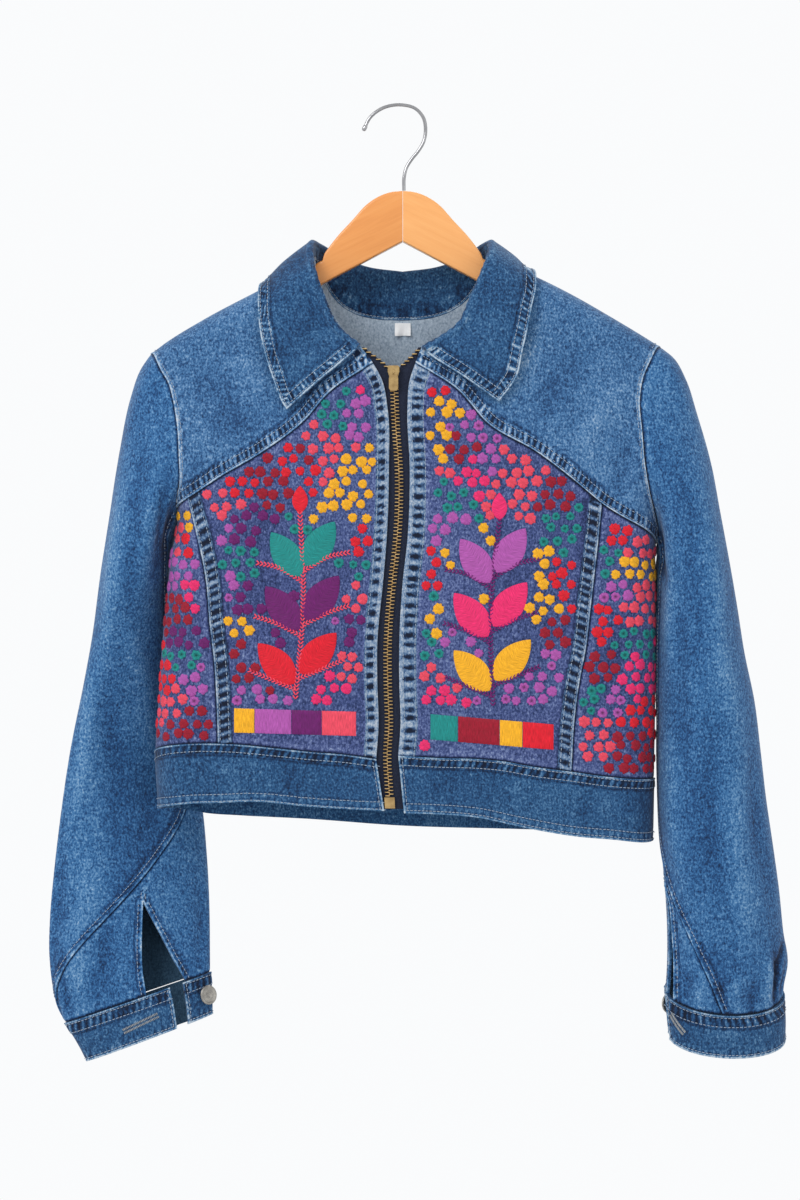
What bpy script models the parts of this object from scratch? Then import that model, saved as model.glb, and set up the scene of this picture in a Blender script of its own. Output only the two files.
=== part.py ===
"""A cropped denim jacket with a zip, hanging on a wooden hanger with a steel wire hook.

The tables and functions work in millimetres, with +X to the right, +Y to the back and +Z up.
The origin is the inside of the hook's top, where the hanger hangs. Meshes are made in metres.
"""
import math

import bmesh
import bpy
import numpy as np

MM = 0.001

# Cloth and seams
WALL = 1.6
DOUBLE_WALL = 2.6
COLLAR_WALL = 2.4
SEAM_GAP = 0.32
BAND_PROUD = 0.5

# Torso section: how far the cloth rounds over at the shoulder line and at the side edges
SHOULDER_ROUND = 20.0
SIDE_ROUND = 30.0
FRONT_DEPTH_AT_SHOULDER = 24.0
BACK_DEPTH_AT_SHOULDER = 22.0
DEPTH_GAINED_AT_CHEST = 18.0
CHEST_BELOW_SHOULDER = 150.0
HEM_SLIMMING = 0.16
SLIMMING_STARTS_AT = -400.0
SLIMMING_LENGTH = 220.0

# How much longer the rounding's arc is than its flat projection
ARC_EXTRA = math.pi / 2 - 1

# Hanger
HANGER_HALF_THICKNESS = 6.5
HANGER_END = 188.0
HANGER_ARM_HEIGHT = 24.0
HANGER_TIP_HEIGHT = 15.0
HANGER_NECK_ENDS = 84.0
HANGER_CLEAR = 1.0
HOOK_WIRE_RADIUS = 1.55

# Zip
ZIP_TAPE_THICKNESS = 1.0
ZIP_TAPE_UNDER_FRONT = 7.0
ZIP_CHAIN_HALF_WIDTH = 4.1
ZIP_CHAIN_THICKNESS = 2.2
ZIP_CHAIN_TOP = -238.0
ZIP_CHAIN_BOTTOM = -603.0
ZIP_TAPE_BOTTOM = -613.5
ZIP_STOP_HALF_WIDTH = 4.4
ZIP_STOP_HEIGHT = 9.5
ZIP_STOP_THICKNESS = 2.8
SLIDER_Z = -235.0
SLIDER_HALF_WIDTH = 5.2
SLIDER_HALF_HEIGHT = 5.4
SLIDER_THICKNESS = 2.0
BRIDGE_INNER_RADIUS = 1.15
BRIDGE_OUTER_RADIUS = 2.35
BRIDGE_WIDTH = 1.6
PULL_AXIS_OFF_SLIDER = 0.95
PULL_WIDTH = 8.0
PULL_LENGTH = 16.5
PULL_THICKNESS = 1.2
PULL_WINDOW_WIDTH = 3.0
PULL_WINDOW_END = 3.0

# Cuff buttons
BUTTON_RADIUS = 8.5
BUTTON_THICKNESS = 2.2
SHANK_RADIUS = 3.0
SHANK_LENGTH = 1.2

# Care label
LABEL_WIDTH = 14.0
LABEL_HEIGHT = 11.0

# Shoulder line seen from the front: x, z
SHOULDER_LINE = [
    (-262, -246), (-221, -217), (-209, -208), (-175, -187), (-124, -160), (-77, -135), (-40, -119),
    (0, -113), (40, -117), (76, -133), (112, -147), (143, -162), (182, -184), (226, -211), (262, -236),
]

# Side edges of the torso seen from the front: z, x. Above the underarm they run on under the sleeve.
LEFT_EDGE = [
    (-660, -213), (-615, -214), (-565, -216.5), (-520, -214), (-463, -210), (-421, -206), (-399, -204),
    (-363, -198), (-352, -199), (-334, -204.5), (-304, -217), (-271, -230), (-243, -241), (-217, -252),
    (-170, -266),
]
RIGHT_EDGE = [
    (-660, 218.5), (-637, 219), (-588, 220), (-536, 221), (-483, 221.5), (-428, 221.5), (-388, 221.5),
    (-368, 223.5), (-346, 226), (-321, 232), (-287, 241), (-236, 252), (-211, 258), (-170, 270),
]

# Seam lines seen from the front: x, z
LEFT_ARMHOLE = [
    (-221, -217), (-210, -233), (-204, -243), (-200, -256), (-197, -271), (-194, -304), (-194, -334),
    (-197, -352), (-198, -363),
]
RIGHT_ARMHOLE = [
    (226, -211), (216, -223), (210, -236), (206, -258), (208, -287), (211, -321), (216, -346),
    (221.5, -368), (221.5, -388),
]
LEFT_YOKE_SEAM = [(-26, -227), (-64, -253), (-85, -277), (-124, -306), (-155, -324), (-186, -344), (-197, -352)]
RIGHT_YOKE_SEAM = [(11, -227), (47, -250), (74, -280), (115, -304), (148, -329), (172, -349), (221.5, -383)]
LEFT_PRINCESS_SEAM = [
    (-186, -344), (-177, -380), (-170, -416), (-167, -452), (-163, -487), (-161, -523), (-160, -557),
]
RIGHT_PRINCESS_SEAM = [
    (172, -349), (169, -380), (166, -407), (162, -442), (158, -476), (153, -502), (149, -532), (146, -581),
]
LEFT_FRONT_EDGE = [
    (-37, -212), (-26, -227), (-18, -242), (-13, -268), (-12, -318), (-14, -380), (-17, -416), (-22, -469),
    (-22, -505), (-21, -541), (-23, -570),
]
RIGHT_FRONT_EDGE = [
    (16, -214), (11, -227), (6, -242), (4, -268), (6, -318), (4, -380), (0, -416), (-3, -469), (-3, -505),
    (-2, -541), (-4, -567),
]
LEFT_FRONT_NECK = [(-77, -135), (-75, -151), (-68, -168), (-60, -187), (-50, -201), (-37, -212)]
RIGHT_FRONT_NECK = [(76, -133), (71, -151), (63, -170), (53, -188), (35, -205), (16, -214)]
LEFT_BACK_NECK = [(-77, -135), (-71.5, -147), (-65, -160), (-56, -171), (-42, -179.5), (-22, -184), (0, -185)]
RIGHT_BACK_NECK = [(76, -133), (70.5, -145), (64, -158), (55, -169), (41, -178), (22, -183.5), (0, -185)]
LEFT_HEM_TOP = [
    (-216.5, -565), (-212, -561), (-187, -557), (-151, -557), (-107, -561), (-78, -564), (-52, -566),
    (-23, -570),
]
LEFT_HEM_BOTTOM = [
    (-214, -615), (-202, -611), (-187, -609), (-158, -608), (-129, -607), (-85, -611), (-56, -613),
    (-16, -615),
]
RIGHT_HEM_TOP = [
    (-4, -567), (30, -569), (65, -570), (87, -572), (115, -577), (146, -581), (174, -585), (212, -588),
    (220, -588),
]
RIGHT_HEM_BOTTOM = [
    (1, -617), (30, -618), (65, -621), (98, -628), (123, -633), (148, -637), (182, -640), (210, -643),
    (219, -642),
]
BACK_HEM_TOP = [(-216.5, -565), (-173, -575), (-85, -582), (-2, -587), (98, -589), (220, -588)]
BACK_HEM_BOTTOM = [
    (-214, -615), (-195, -617), (-173, -621), (-144, -623), (-85, -626), (-2, -632), (98, -635),
    (190, -638), (219, -642),
]
ZIP_CHAIN_LINE = [
    (-8, -235), (-6, -283), (-3.5, -318), (-5, -380), (-9, -416), (-13, -469), (-13, -505), (-12, -541),
    (-13.5, -568), (-12, -595), (-11, -614),
]

# Sleeve sections, from the armhole to the end of the cuff. The outer and inner points are what shows at the
# sleeve's two sides. Front and back are its half depths, bow moves its front and back towards the torso,
# and dip lowers its front and lifts its back.
SLEEVE_COLUMNS = (
    "outer_x", "outer_z", "inner_x", "inner_z", "outer_y", "inner_y", "front", "back", "bow", "dip",
)
LEFT_SLEEVE = [
    (-221.0, -217.0, -198.4, -363.0, 0, 0, 40, 38, 15, 0),
    (-231.0, -232.0, -200.0, -367.0, 2, 2, 44, 42, 14, 0),
    (-239.0, -255.0, -202.0, -371.0, 4, 4, 46, 46, 11, 0),
    (-249.0, -303.0, -205.0, -379.0, 8, 7, 48, 50, 7, 0),
    (-257.6, -357.0, -206.0, -391.0, 12, 12, 48, 53, 3, 0),
    (-265.5, -406.0, -207.6, -415.0, 15, 22, 45, 52, 0, 0),
    (-273.4, -463.0, -206.0, -458.0, 18, 40, 36, 46, 0, 0),
    (-281.0, -505.0, -199.0, -505.0, 18, 54, 30, 38, 0, 0),
    (-292.8, -564.0, -190.0, -562.0, 17, 62, 24, 31, 0, 0),
    (-299.8, -611.0, -180.0, -612.0, 15, 62, 22, 27, 0, 0),
    (-306.9, -672.0, -174.5, -658.0, 12, 50, 22, 24, 0, 0),
    (-310.0, -712.0, -172.0, -688.0, 8, 38, 22, 22, 0, 0),
    (-310.0, -748.0, -170.6, -718.0, 4, 28, 21, 21, 0, 0),
    (-306.0, -776.0, -170.0, -740.0, 2, 20, 20, 20, 0, 0),
    (-296.0, -802.0, -169.6, -759.0, 0, 14, 17, 17, 0, 0),
]
LEFT_CUFF = [
    (-295.8, -802.6, -169.5, -759.5, 0, 14, 17, 17, 0, 0),
    (-285.0, -820.0, -168.0, -777.5, 0, 12, 17.5, 17.5, 0, 0),
    (-276.5, -836.0, -167.5, -796.0, 0, 10, 17, 17, 0, 0),
]
RIGHT_SLEEVE = [
    (226.4, -211.0, 221.9, -388.0, 0, 0, 40, 38, -16, 0),
    (239.6, -222.0, 224.4, -391.0, 0, 0, 43, 41, -15, 0),
    (249.3, -240.0, 225.4, -395.0, 0, -1, 45, 44, -13, 0),
    (258.5, -270.0, 226.2, -401.0, 0, -2, 47, 46, -10, 0),
    (269.5, -310.0, 225.0, -410.0, 0, -3, 49, 48, -6, 0),
    (277.5, -353.0, 224.4, -421.0, -1, -4, 50, 49, -3, 0),
    (285.4, -396.0, 224.0, -438.0, -2, -5, 50, 48, 0, 0),
    (292.4, -437.0, 223.6, -462.0, -3, -6, 49, 47, 0, 0),
    (298.6, -477.0, 223.3, -491.0, -4, -7, 48, 46, 0, 0),
    (307.4, -520.0, 223.0, -527.0, -5, -8, 47, 44, 0, 0),
    (312.7, -563.0, 222.6, -566.0, -6, -9, 46, 42, 0, 0),
    (317.9, -608.0, 223.4, -609.0, -7, -10, 44, 40, 0, 2),
    (323.7, -648.0, 225.4, -646.0, -8, -11, 43, 38, 0, 4),
    (328.8, -685.0, 228.6, -681.0, -8, -12, 41, 36, 0, 8),
    (332.6, -722.0, 230.6, -716.0, -8, -12, 38, 34, 0, 12),
    (336.4, -748.0, 230.8, -744.0, -8, -12, 34, 32, 0, 16),
    (333.0, -768.0, 230.0, -763.0, -8, -12, 29, 28, 0, 18),
    (332.4, -776.0, 229.4, -771.0, -8, -12, 27, 26, 0, 18),
]
RIGHT_CUFF = [
    (332.6, -776.8, 229.4, -771.8, -8, -12, 27, 26, 0, 18),
    (334.2, -797.0, 230.6, -792.0, -8, -12, 28, 27, 0, 16),
    (333.8, -816.0, 232.6, -812.5, -8, -12, 27, 26, 0, 15),
]

# Sleeve seam lines: share of the sleeve's length, angle of the front seam, angle of the back seam, in degrees.
# Angles run from the outer side (0) over the front (90) to the inner side (180); the back is negative.
LEFT_SLEEVE_SEAMS = [
    (0.00, 166, -70), (0.30, 164, -80), (0.55, 156, -95), (0.66, 142, -110), (0.74, 118, -125), (0.83, 84, -140),
    (0.90, 48, -152), (0.96, 12, -160), (1.00, -8, -164),
]
RIGHT_SLEEVE_SEAMS = [
    (0.00, 168, -70), (0.40, 176, -80), (0.74, 178, -90), (0.81, 158, -100), (0.88, 132, -112),
    (0.94, 112, -124), (1.00, 94, -135),
]

# Where the sleeve meets the armhole. From one angle to the other, the seam turns into the fold under the arm.
ARMHOLE_SEAM_GAP = 0.6
ARMHOLE_FADE = 0.16
FOLD_STARTS_AT = 105
FOLD_ENDS_AT = 165
TOP_SLEEVE_BACK_COLUMNS = 9
TOP_SLEEVE_FRONT_COLUMNS = 12
UNDER_SLEEVE_COLUMNS = 7

# Slit in the under sleeve: where it starts and its two edges at the cuff, as angles
LEFT_SLIT = {"starts": 0.835, "start_angle": 101, "outer_angle": 98, "inner_angle": 132}
RIGHT_SLIT = {"starts": 0.81, "start_angle": 162, "outer_angle": 152, "inner_angle": 166}

SLIT_CLEAR_OF_SEAM = 12

# Cuff ends, as angles over the front: the button end lies towards the inner side
LEFT_CUFF_ENDS = {"overlap": 117, "underlap": 129}
RIGHT_CUFF_ENDS = {"overlap": 170, "underlap": 186}
LEFT_BUTTON_ANGLE = 158
RIGHT_BUTTON_ANGLE = 204

# Collar sections from the centre back to one end. Along is the share of the half neckline.
COLLAR_COLUMNS = ("along", "roll_x", "roll_y", "roll_z", "edge_x", "edge_y", "edge_z")
LEFT_COLLAR = [
    (0.00, 0, 37, -142, 0, 44, -200),
    (0.16, -30, 36, -138, -38, 43, -199),
    (0.32, -54, 32, -129, -80, 40, -188),
    (0.44, -70, 19, -120, -110, 25, -168),
    (0.52, -77, 3, -118, -123, 3, -155.5),
    (0.60, -79, -18, -131, -126, -22, -170),
    (0.68, -73, -31, -155, -124.5, -34, -193),
    (0.77, -66, -35.5, -175, -120, -40, -217),
    (0.86, -59, -38.5, -192, -112, -44, -242),
    (0.94, -47, -41, -204, -106, -46, -258),
    (1.00, -37, -43, -211, -100.5, -47, -268),
]
RIGHT_COLLAR = [
    (0.00, 0, 37, -142, 0, 44, -200),
    (0.16, 30, 36, -138, 36, 43, -199),
    (0.32, 54, 32, -129, 74, 40, -186),
    (0.44, 68, 19, -120, 100, 25, -162),
    (0.52, 75, 3, -118, 114, 3, -148),
    (0.60, 74, -18, -129, 116, -22, -160),
    (0.68, 66, -30, -150, 112, -34, -177),
    (0.77, 58, -35, -169, 108.5, -40, -195),
    (0.86, 49, -38.5, -191, 103.5, -44, -217),
    (0.94, 34, -41, -203, 97, -46, -242),
    (1.00, 18, -43, -213, 83, -47, -261),
]
SHOULDER_ALONG = 0.52
COLLAR_FOLD_WIDTH = 7.0
COLLAR_LIFT = 3.6
COLLAR_EDGE_LIFT = 1.4
COLLAR_BULGE = 2.0
NECK_SEAM_GAP = 0.3
NECK_STEP = 1.0
COLLAR_ABOVE_SEAM = 0.15
STAND_AT_LEAST = 8.5
NECK_MIDDLE = np.array([0.0, 0.0, -150.0])

# Hanger arm between the hook and the shoulder: distance from the middle, top, underside
HANGER_NECK = [
    (0, -74.2, -118.6), (10, -75.2, -123.9), (18, -77.7, -128.1), (33, -87.4, -136), (44, -99.7, -141.7),
    (57, -113.8, -148.5), (65, -124, -152.8), (70, -131, -155.6), (76, -138.4, -159), (84, -143, -163.5),
]

# Hook wire: x, z of its middle line
HOOK_LINE = [
    (-34, -20), (-29, -10), (-17.5, -1.2), (0, 1.55), (11, -1.5), (18, -9.5), (20, -20), (18.5, -30),
    (13.5, -39), (7.5, -46.5), (3, -54), (1.2, -62), (1, -73.6),
]


def clear_scene():
    for thing in list(bpy.data.objects):
        bpy.data.objects.remove(thing, do_unlink=True)


def make_material(name, colour, roughness, metallic=0.0):
    material = bpy.data.materials.new(name)
    material.use_nodes = True
    shader = material.node_tree.nodes["Principled BSDF"]
    shader.inputs["Base Color"].default_value = (*colour, 1.0)
    shader.inputs["Roughness"].default_value = roughness
    shader.inputs["Metallic"].default_value = metallic
    return material


def hermite(values, slopes, knots, at):
    """Value at a place along a smooth curve that passes through all its points."""
    last = len(knots) - 2
    index = min(max(int(np.searchsorted(knots, at)) - 1, 0), last)
    step = knots[index + 1] - knots[index]
    q = (at - knots[index]) / step
    if q < 0 or q > 1:
        end = index if q < 0 else index + 1
        return values[end] + slopes[end] * (at - knots[end])
    start, finish = values[index], values[index + 1]
    return (
        start * (2 * q ** 3 - 3 * q ** 2 + 1)
        + finish * (3 * q ** 2 - 2 * q ** 3)
        + slopes[index] * step * (q ** 3 - 2 * q ** 2 + q)
        + slopes[index + 1] * step * (q ** 3 - q ** 2)
    )


def smooth_curve(points):
    """Curve through points, as a function of its share of length from 0 to 1."""
    values = np.array(points, float)
    knots = np.concatenate([[0.0], np.cumsum(np.linalg.norm(np.diff(values, axis=0), axis=1))])
    slopes = np.gradient(values, knots, axis=0)
    return lambda share: hermite(values, slopes, knots, share * knots[-1])


def profile(rows):
    """Values that follow a key, the first number of each row."""
    table = np.array(rows, float)
    table = table[np.argsort(table[:, 0])]
    knots, values = table[:, 0], table[:, 1:]
    slopes = np.gradient(values, knots, axis=0)
    return lambda key: hermite(values, slopes, knots, key)


def ease(share):
    share = min(max(share, 0.0), 1.0)
    return share * share * (3 - 2 * share)


shoulder_profile = profile(SHOULDER_LINE)
left_edge_profile = profile(LEFT_EDGE)
right_edge_profile = profile(RIGHT_EDGE)


def shoulder_z(x):
    return float(shoulder_profile(x)[0])


def edge_x(z, side):
    chosen = left_edge_profile if side < 0 else right_edge_profile
    return float(chosen(z)[0])


def fall(arc, radius):
    """Travel along the cloth from an edge, as distance from the edge and share of the full depth."""
    if arc < radius * math.pi / 2:
        return radius * (1 - math.cos(arc / radius)), math.sin(arc / radius)
    return arc - ARC_EXTRA * radius, 1.0


def climb(distance, radius):
    """Travel along the cloth for a distance from an edge."""
    if distance < radius:
        return radius * math.acos(1 - max(distance, 0.0) / radius)
    return distance + ARC_EXTRA * radius


def half_depth(x, z, back):
    below = shoulder_z(x) - z
    start = BACK_DEPTH_AT_SHOULDER if back else FRONT_DEPTH_AT_SHOULDER
    depth = start + DEPTH_GAINED_AT_CHEST * ease(below / CHEST_BELOW_SHOULDER)
    return depth * (1 - HEM_SLIMMING * ease((SLIMMING_STARTS_AT - z) / SLIMMING_LENGTH))


def flatten(x, z):
    """Cloth coordinates of a place seen from the front: they run on round the edges."""
    side = -1 if x < 0 else 1
    inside = abs(edge_x(z, side) - x)
    across = edge_x(z, side) + side * (ARC_EXTRA * SIDE_ROUND - climb(inside, SIDE_ROUND))
    height = shoulder_z(x) + ARC_EXTRA * SHOULDER_ROUND - climb(shoulder_z(x) - z, SHOULDER_ROUND)
    return np.array([across, height])


def torso_point(across, height, back=False):
    """Place on the torso's outer surface for cloth coordinates."""
    x, z = across, height
    side = -1 if across < 0 else 1
    for _ in range(6):
        arc_down = shoulder_z(x) + ARC_EXTRA * SHOULDER_ROUND - height
        down, depth_share_down = fall(arc_down, SHOULDER_ROUND)
        z = shoulder_z(x) - down
        arc_in = side * (edge_x(z, side) - across) + ARC_EXTRA * SIDE_ROUND
        inside, depth_share_in = fall(arc_in, SIDE_ROUND)
        x = edge_x(z, side) - side * inside
    y = half_depth(x, z, back) * depth_share_down * depth_share_in
    return np.array([x, y if back else -y, z])


def torso_normal(across, height, back=False, step=0.5):
    along_x = torso_point(across + step, height, back) - torso_point(across - step, height, back)
    along_z = torso_point(across, height + step, back) - torso_point(across, height - step, back)
    normal = np.cross(along_x, along_z) * (-1 if back else 1)
    return normal / np.linalg.norm(normal)


def clear_of_torso(point, lift):
    """Where a point that lies too near the torso goes, straight out, to clear the cloth by a lift."""
    x, y, z = point
    back = y > 0
    middle_z = shoulder_z(x) - SHOULDER_ROUND
    reach, rise = half_depth(x, z, back) + lift, SHOULDER_ROUND + lift
    if z > middle_z:
        share = math.hypot(y / reach, (z - middle_z) / rise)
        if share < 1:
            return np.array([x, y / share, middle_z + (z - middle_z) / share])
    elif abs(y) < reach:
        return np.array([x, reach if back else -reach, z])
    return point


def cloth_line(points):
    """A seam line in cloth coordinates, from places seen from the front."""
    return smooth_curve([flatten(x, z) for x, z in points])


def joined_line(first, second, break_at):
    """Two lines run together, which meet at a given share."""
    def line(share):
        if share <= break_at:
            return first(share / break_at)
        return second((share - break_at) / (1 - break_at))
    return line


def coons(top, bottom, left, right, side_hold=1):
    """Patch between four lines. The top and bottom run from left to right, the sides run down.

    A higher side hold keeps the bends of the two sides nearer to them.
    """
    corner_tl, corner_tr = (left(0) + top(0)) / 2, (right(0) + top(1)) / 2
    corner_bl, corner_br = (left(1) + bottom(0)) / 2, (right(1) + bottom(1)) / 2

    def patch(u, v):
        across = (1 - v) * top(u) + v * bottom(u)
        left_bend = left(v) - (1 - v) * corner_tl - v * corner_bl
        right_bend = right(v) - (1 - v) * corner_tr - v * corner_br
        return across + (1 - u) ** side_hold * left_bend + u ** side_hold * right_bend
    return patch


def seam_inset(place, shares, along_u, other):
    """Shares of a patch pulled in at both ends so that a seam gap stays open."""
    def at(share):
        return place(share, other) if along_u else place(other, share)
    length_start = np.linalg.norm(at(0.05) - at(0.0)) / 0.05
    length_end = np.linalg.norm(at(1.0) - at(0.95)) / 0.05
    low = SEAM_GAP / 2 / length_start
    high = 1 - SEAM_GAP / 2 / length_end
    return [low + (high - low) * share for share in shares]


def even(count):
    return [index / count for index in range(count + 1)]


def sheet_normal(place, u, v, step=1e-3):
    normal = np.cross(place(u + step, v) - place(u - step, v), place(u, v + step) - place(u, v - step))
    return normal / np.linalg.norm(normal)


def patch_points(place, normal_of, columns, rows):
    """Outer points and normals on a patch's grid, inset for the seams."""
    points, normals = [], []
    for row in rows:
        for column, u in zip(columns, seam_inset(place, columns, True, row)):
            v = seam_inset(place, [row], False, column)[0]
            points.append(place(u, v))
            normals.append(normal_of(u, v))
    return np.array(points), np.array(normals)


def grid_quads(column_count, row_count, start=0):
    quads = []
    for row in range(row_count - 1):
        for column in range(column_count - 1):
            corner = start + row * column_count + column
            quads.append((corner, corner + 1, corner + column_count + 1, corner + column_count))
    return quads


def add_object(name, mesh, material):
    thing = bpy.data.objects.new(name, mesh)
    bpy.context.collection.objects.link(thing)
    mesh.materials.append(material)
    return thing


def finish_mesh(name, shape, material, sharp_angle=40):
    bmesh.ops.recalc_face_normals(shape, faces=shape.faces)
    mesh = bpy.data.meshes.new(name)
    shape.to_mesh(mesh)
    shape.free()
    mesh.shade_smooth()
    mesh.set_sharp_from_angle(angle=math.radians(sharp_angle))
    return add_object(name, mesh, material)


def thick_sheet(name, points, normals, quads, wall, material, proud=0.0):
    """Closed wall from a sheet's outer points: the inner side lies a wall's thickness inside."""
    shape = bmesh.new()
    outer = [shape.verts.new((point + normal * proud) * MM) for point, normal in zip(points, normals)]
    inner = [shape.verts.new((point + normal * (proud - wall)) * MM) for point, normal in zip(points, normals)]
    edge_count = {}
    for quad in quads:
        shape.faces.new([outer[index] for index in quad])
        shape.faces.new([inner[index] for index in reversed(quad)])
        for start, end in zip(quad, quad[1:] + quad[:1]):
            edge_count.setdefault(frozenset((start, end)), []).append((start, end))
    for uses in edge_count.values():
        if len(uses) == 1:
            start, end = uses[0]
            shape.faces.new([outer[end], outer[start], inner[start], inner[end]])
    return finish_mesh(name, shape, material)


def torso_panel(name, top, bottom, left, right, columns, rows, material, back=False, wall=WALL, proud=0.0,
                side_hold=1):
    """One cut piece of the torso between four seam lines."""
    flat = coons(top, bottom, left, right, side_hold)

    def place(u, v):
        return torso_point(*flat(u, v), back)

    def normal_of(u, v):
        return torso_normal(*flat(u, v), back)
    points, normals = patch_points(place, normal_of, columns, rows)
    return thick_sheet(name, points, normals, grid_quads(len(columns), len(rows)), wall, material, proud)


def side_line(side, z_start, z_end, count=8):
    """The side edge of the torso in cloth coordinates."""
    chosen = [z_start + (z_end - z_start) * share for share in even(count)]
    return smooth_curve([flatten(edge_x(z, side), z) for z in chosen])


def shoulder_line(x_start, x_end, count=8):
    chosen = [x_start + (x_end - x_start) * share for share in even(count)]
    return smooth_curve([flatten(x, shoulder_z(x)) for x in chosen])


def reverse(line):
    return lambda share: line(1 - share)


def part_of(line, start, end):
    return lambda share: line(start + (end - start) * share)


def straight(start, end):
    return lambda share: start + (end - start) * share


def share_at_height(line, z):
    """Share of a line at which it passes a height."""
    low, high = 0.0, 1.0
    for _ in range(40):
        middle = (low + high) / 2
        if (line(middle)[1] > z) == (line(0.0)[1] > line(1.0)[1]):
            low = middle
        else:
            high = middle
    return low


def nearest_share(line, place):
    """Share at which a line passes nearest to a place."""
    return min(even(400), key=lambda share: np.linalg.norm(line(share) - place))


def two_runs(middle, before, after):
    """Shares with a stop at a middle, in even steps before it and after it."""
    first = [middle * share for share in even(before)]
    return first + [middle + (1 - middle) * share for share in even(after)[1:]]


def build_front(side, denim):
    """Yoke, centre front, side front and hem band of one half of the front."""
    armhole = cloth_line(LEFT_ARMHOLE if side < 0 else RIGHT_ARMHOLE)
    yoke_seam = cloth_line(LEFT_YOKE_SEAM if side < 0 else RIGHT_YOKE_SEAM)
    princess = cloth_line(LEFT_PRINCESS_SEAM if side < 0 else RIGHT_PRINCESS_SEAM)
    front_edge = cloth_line(LEFT_FRONT_EDGE if side < 0 else RIGHT_FRONT_EDGE)
    neck = cloth_line(LEFT_FRONT_NECK if side < 0 else RIGHT_FRONT_NECK)
    hem_top = cloth_line(LEFT_HEM_TOP if side < 0 else RIGHT_HEM_TOP)
    hem_bottom = cloth_line(LEFT_HEM_BOTTOM if side < 0 else RIGHT_HEM_BOTTOM)
    armhole_rows = LEFT_ARMHOLE if side < 0 else RIGHT_ARMHOLE
    neck_rows = LEFT_FRONT_NECK if side < 0 else RIGHT_FRONT_NECK

    # The yoke: shoulder line, armhole, yoke seam, then front edge and neckline
    shoulder = shoulder_line(armhole_rows[0][0], neck_rows[0][0])
    armhole_end = share_at_height(armhole, yoke_seam(1)[1])
    front_share = share_at_height(front_edge, yoke_seam(0)[1])
    neck_side = joined_line(neck, part_of(front_edge, 0, front_share), 0.85)
    yoke_rows = even(TOP_SLEEVE_FRONT_COLUMNS)
    outer_side = part_of(armhole, 0, armhole_end)
    seam_out_to_in = reverse(yoke_seam)
    split = nearest_share(yoke_seam, princess(0))
    hem_split = nearest_share(hem_top, princess(1))
    seam_columns = two_runs(split, 10, 2)
    if side < 0:
        out_to_in = [1 - share for share in reversed(seam_columns)]
        torso_panel("yoke_left", shoulder, seam_out_to_in, outer_side, neck_side, out_to_in, yoke_rows, denim)
    else:
        torso_panel("yoke_right", reverse(shoulder), yoke_seam, neck_side, outer_side, seam_columns, yoke_rows,
                    denim)

    # The centre front, between the princess seam and the zip
    lower_front = part_of(front_edge, front_share, 1)
    underarm = 0.06 if side < 0 else 0.03
    rows = two_runs(underarm, 1, 10)
    if side < 0:
        torso_panel("front_left", part_of(yoke_seam, split, 0), part_of(hem_top, hem_split, 1), princess,
                    lower_front, even(10), rows, denim)
        outline = joined_line(part_of(armhole, armhole_end, 1), side_line(side, -363, -565), underarm)
        torso_panel("side_front_left", part_of(yoke_seam, 1, split), part_of(hem_top, 0, hem_split), outline,
                    princess, even(4), rows, denim)
        band_end = straight(hem_top(1), hem_bottom(1))
        torso_panel("hem_band_front_left", hem_top, hem_bottom, side_line(side, -565, -615), band_end,
                    two_runs(hem_split, 4, 10), even(2), denim, wall=DOUBLE_WALL, proud=BAND_PROUD)
    else:
        torso_panel("front_right", part_of(yoke_seam, 0, split), part_of(hem_top, 0, hem_split), lower_front,
                    princess, even(10), rows, denim)
        outline = joined_line(part_of(armhole, armhole_end, 1), side_line(side, -388, -588), underarm)
        torso_panel("side_front_right", part_of(yoke_seam, split, 1), part_of(hem_top, hem_split, 1), princess,
                    outline, even(4), rows, denim)
        band_end = straight(hem_top(0), hem_bottom(0))
        torso_panel("hem_band_front_right", hem_top, hem_bottom, band_end, side_line(side, -588, -642),
                    two_runs(hem_split, 10, 4), even(2), denim, wall=DOUBLE_WALL, proud=BAND_PROUD)


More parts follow.
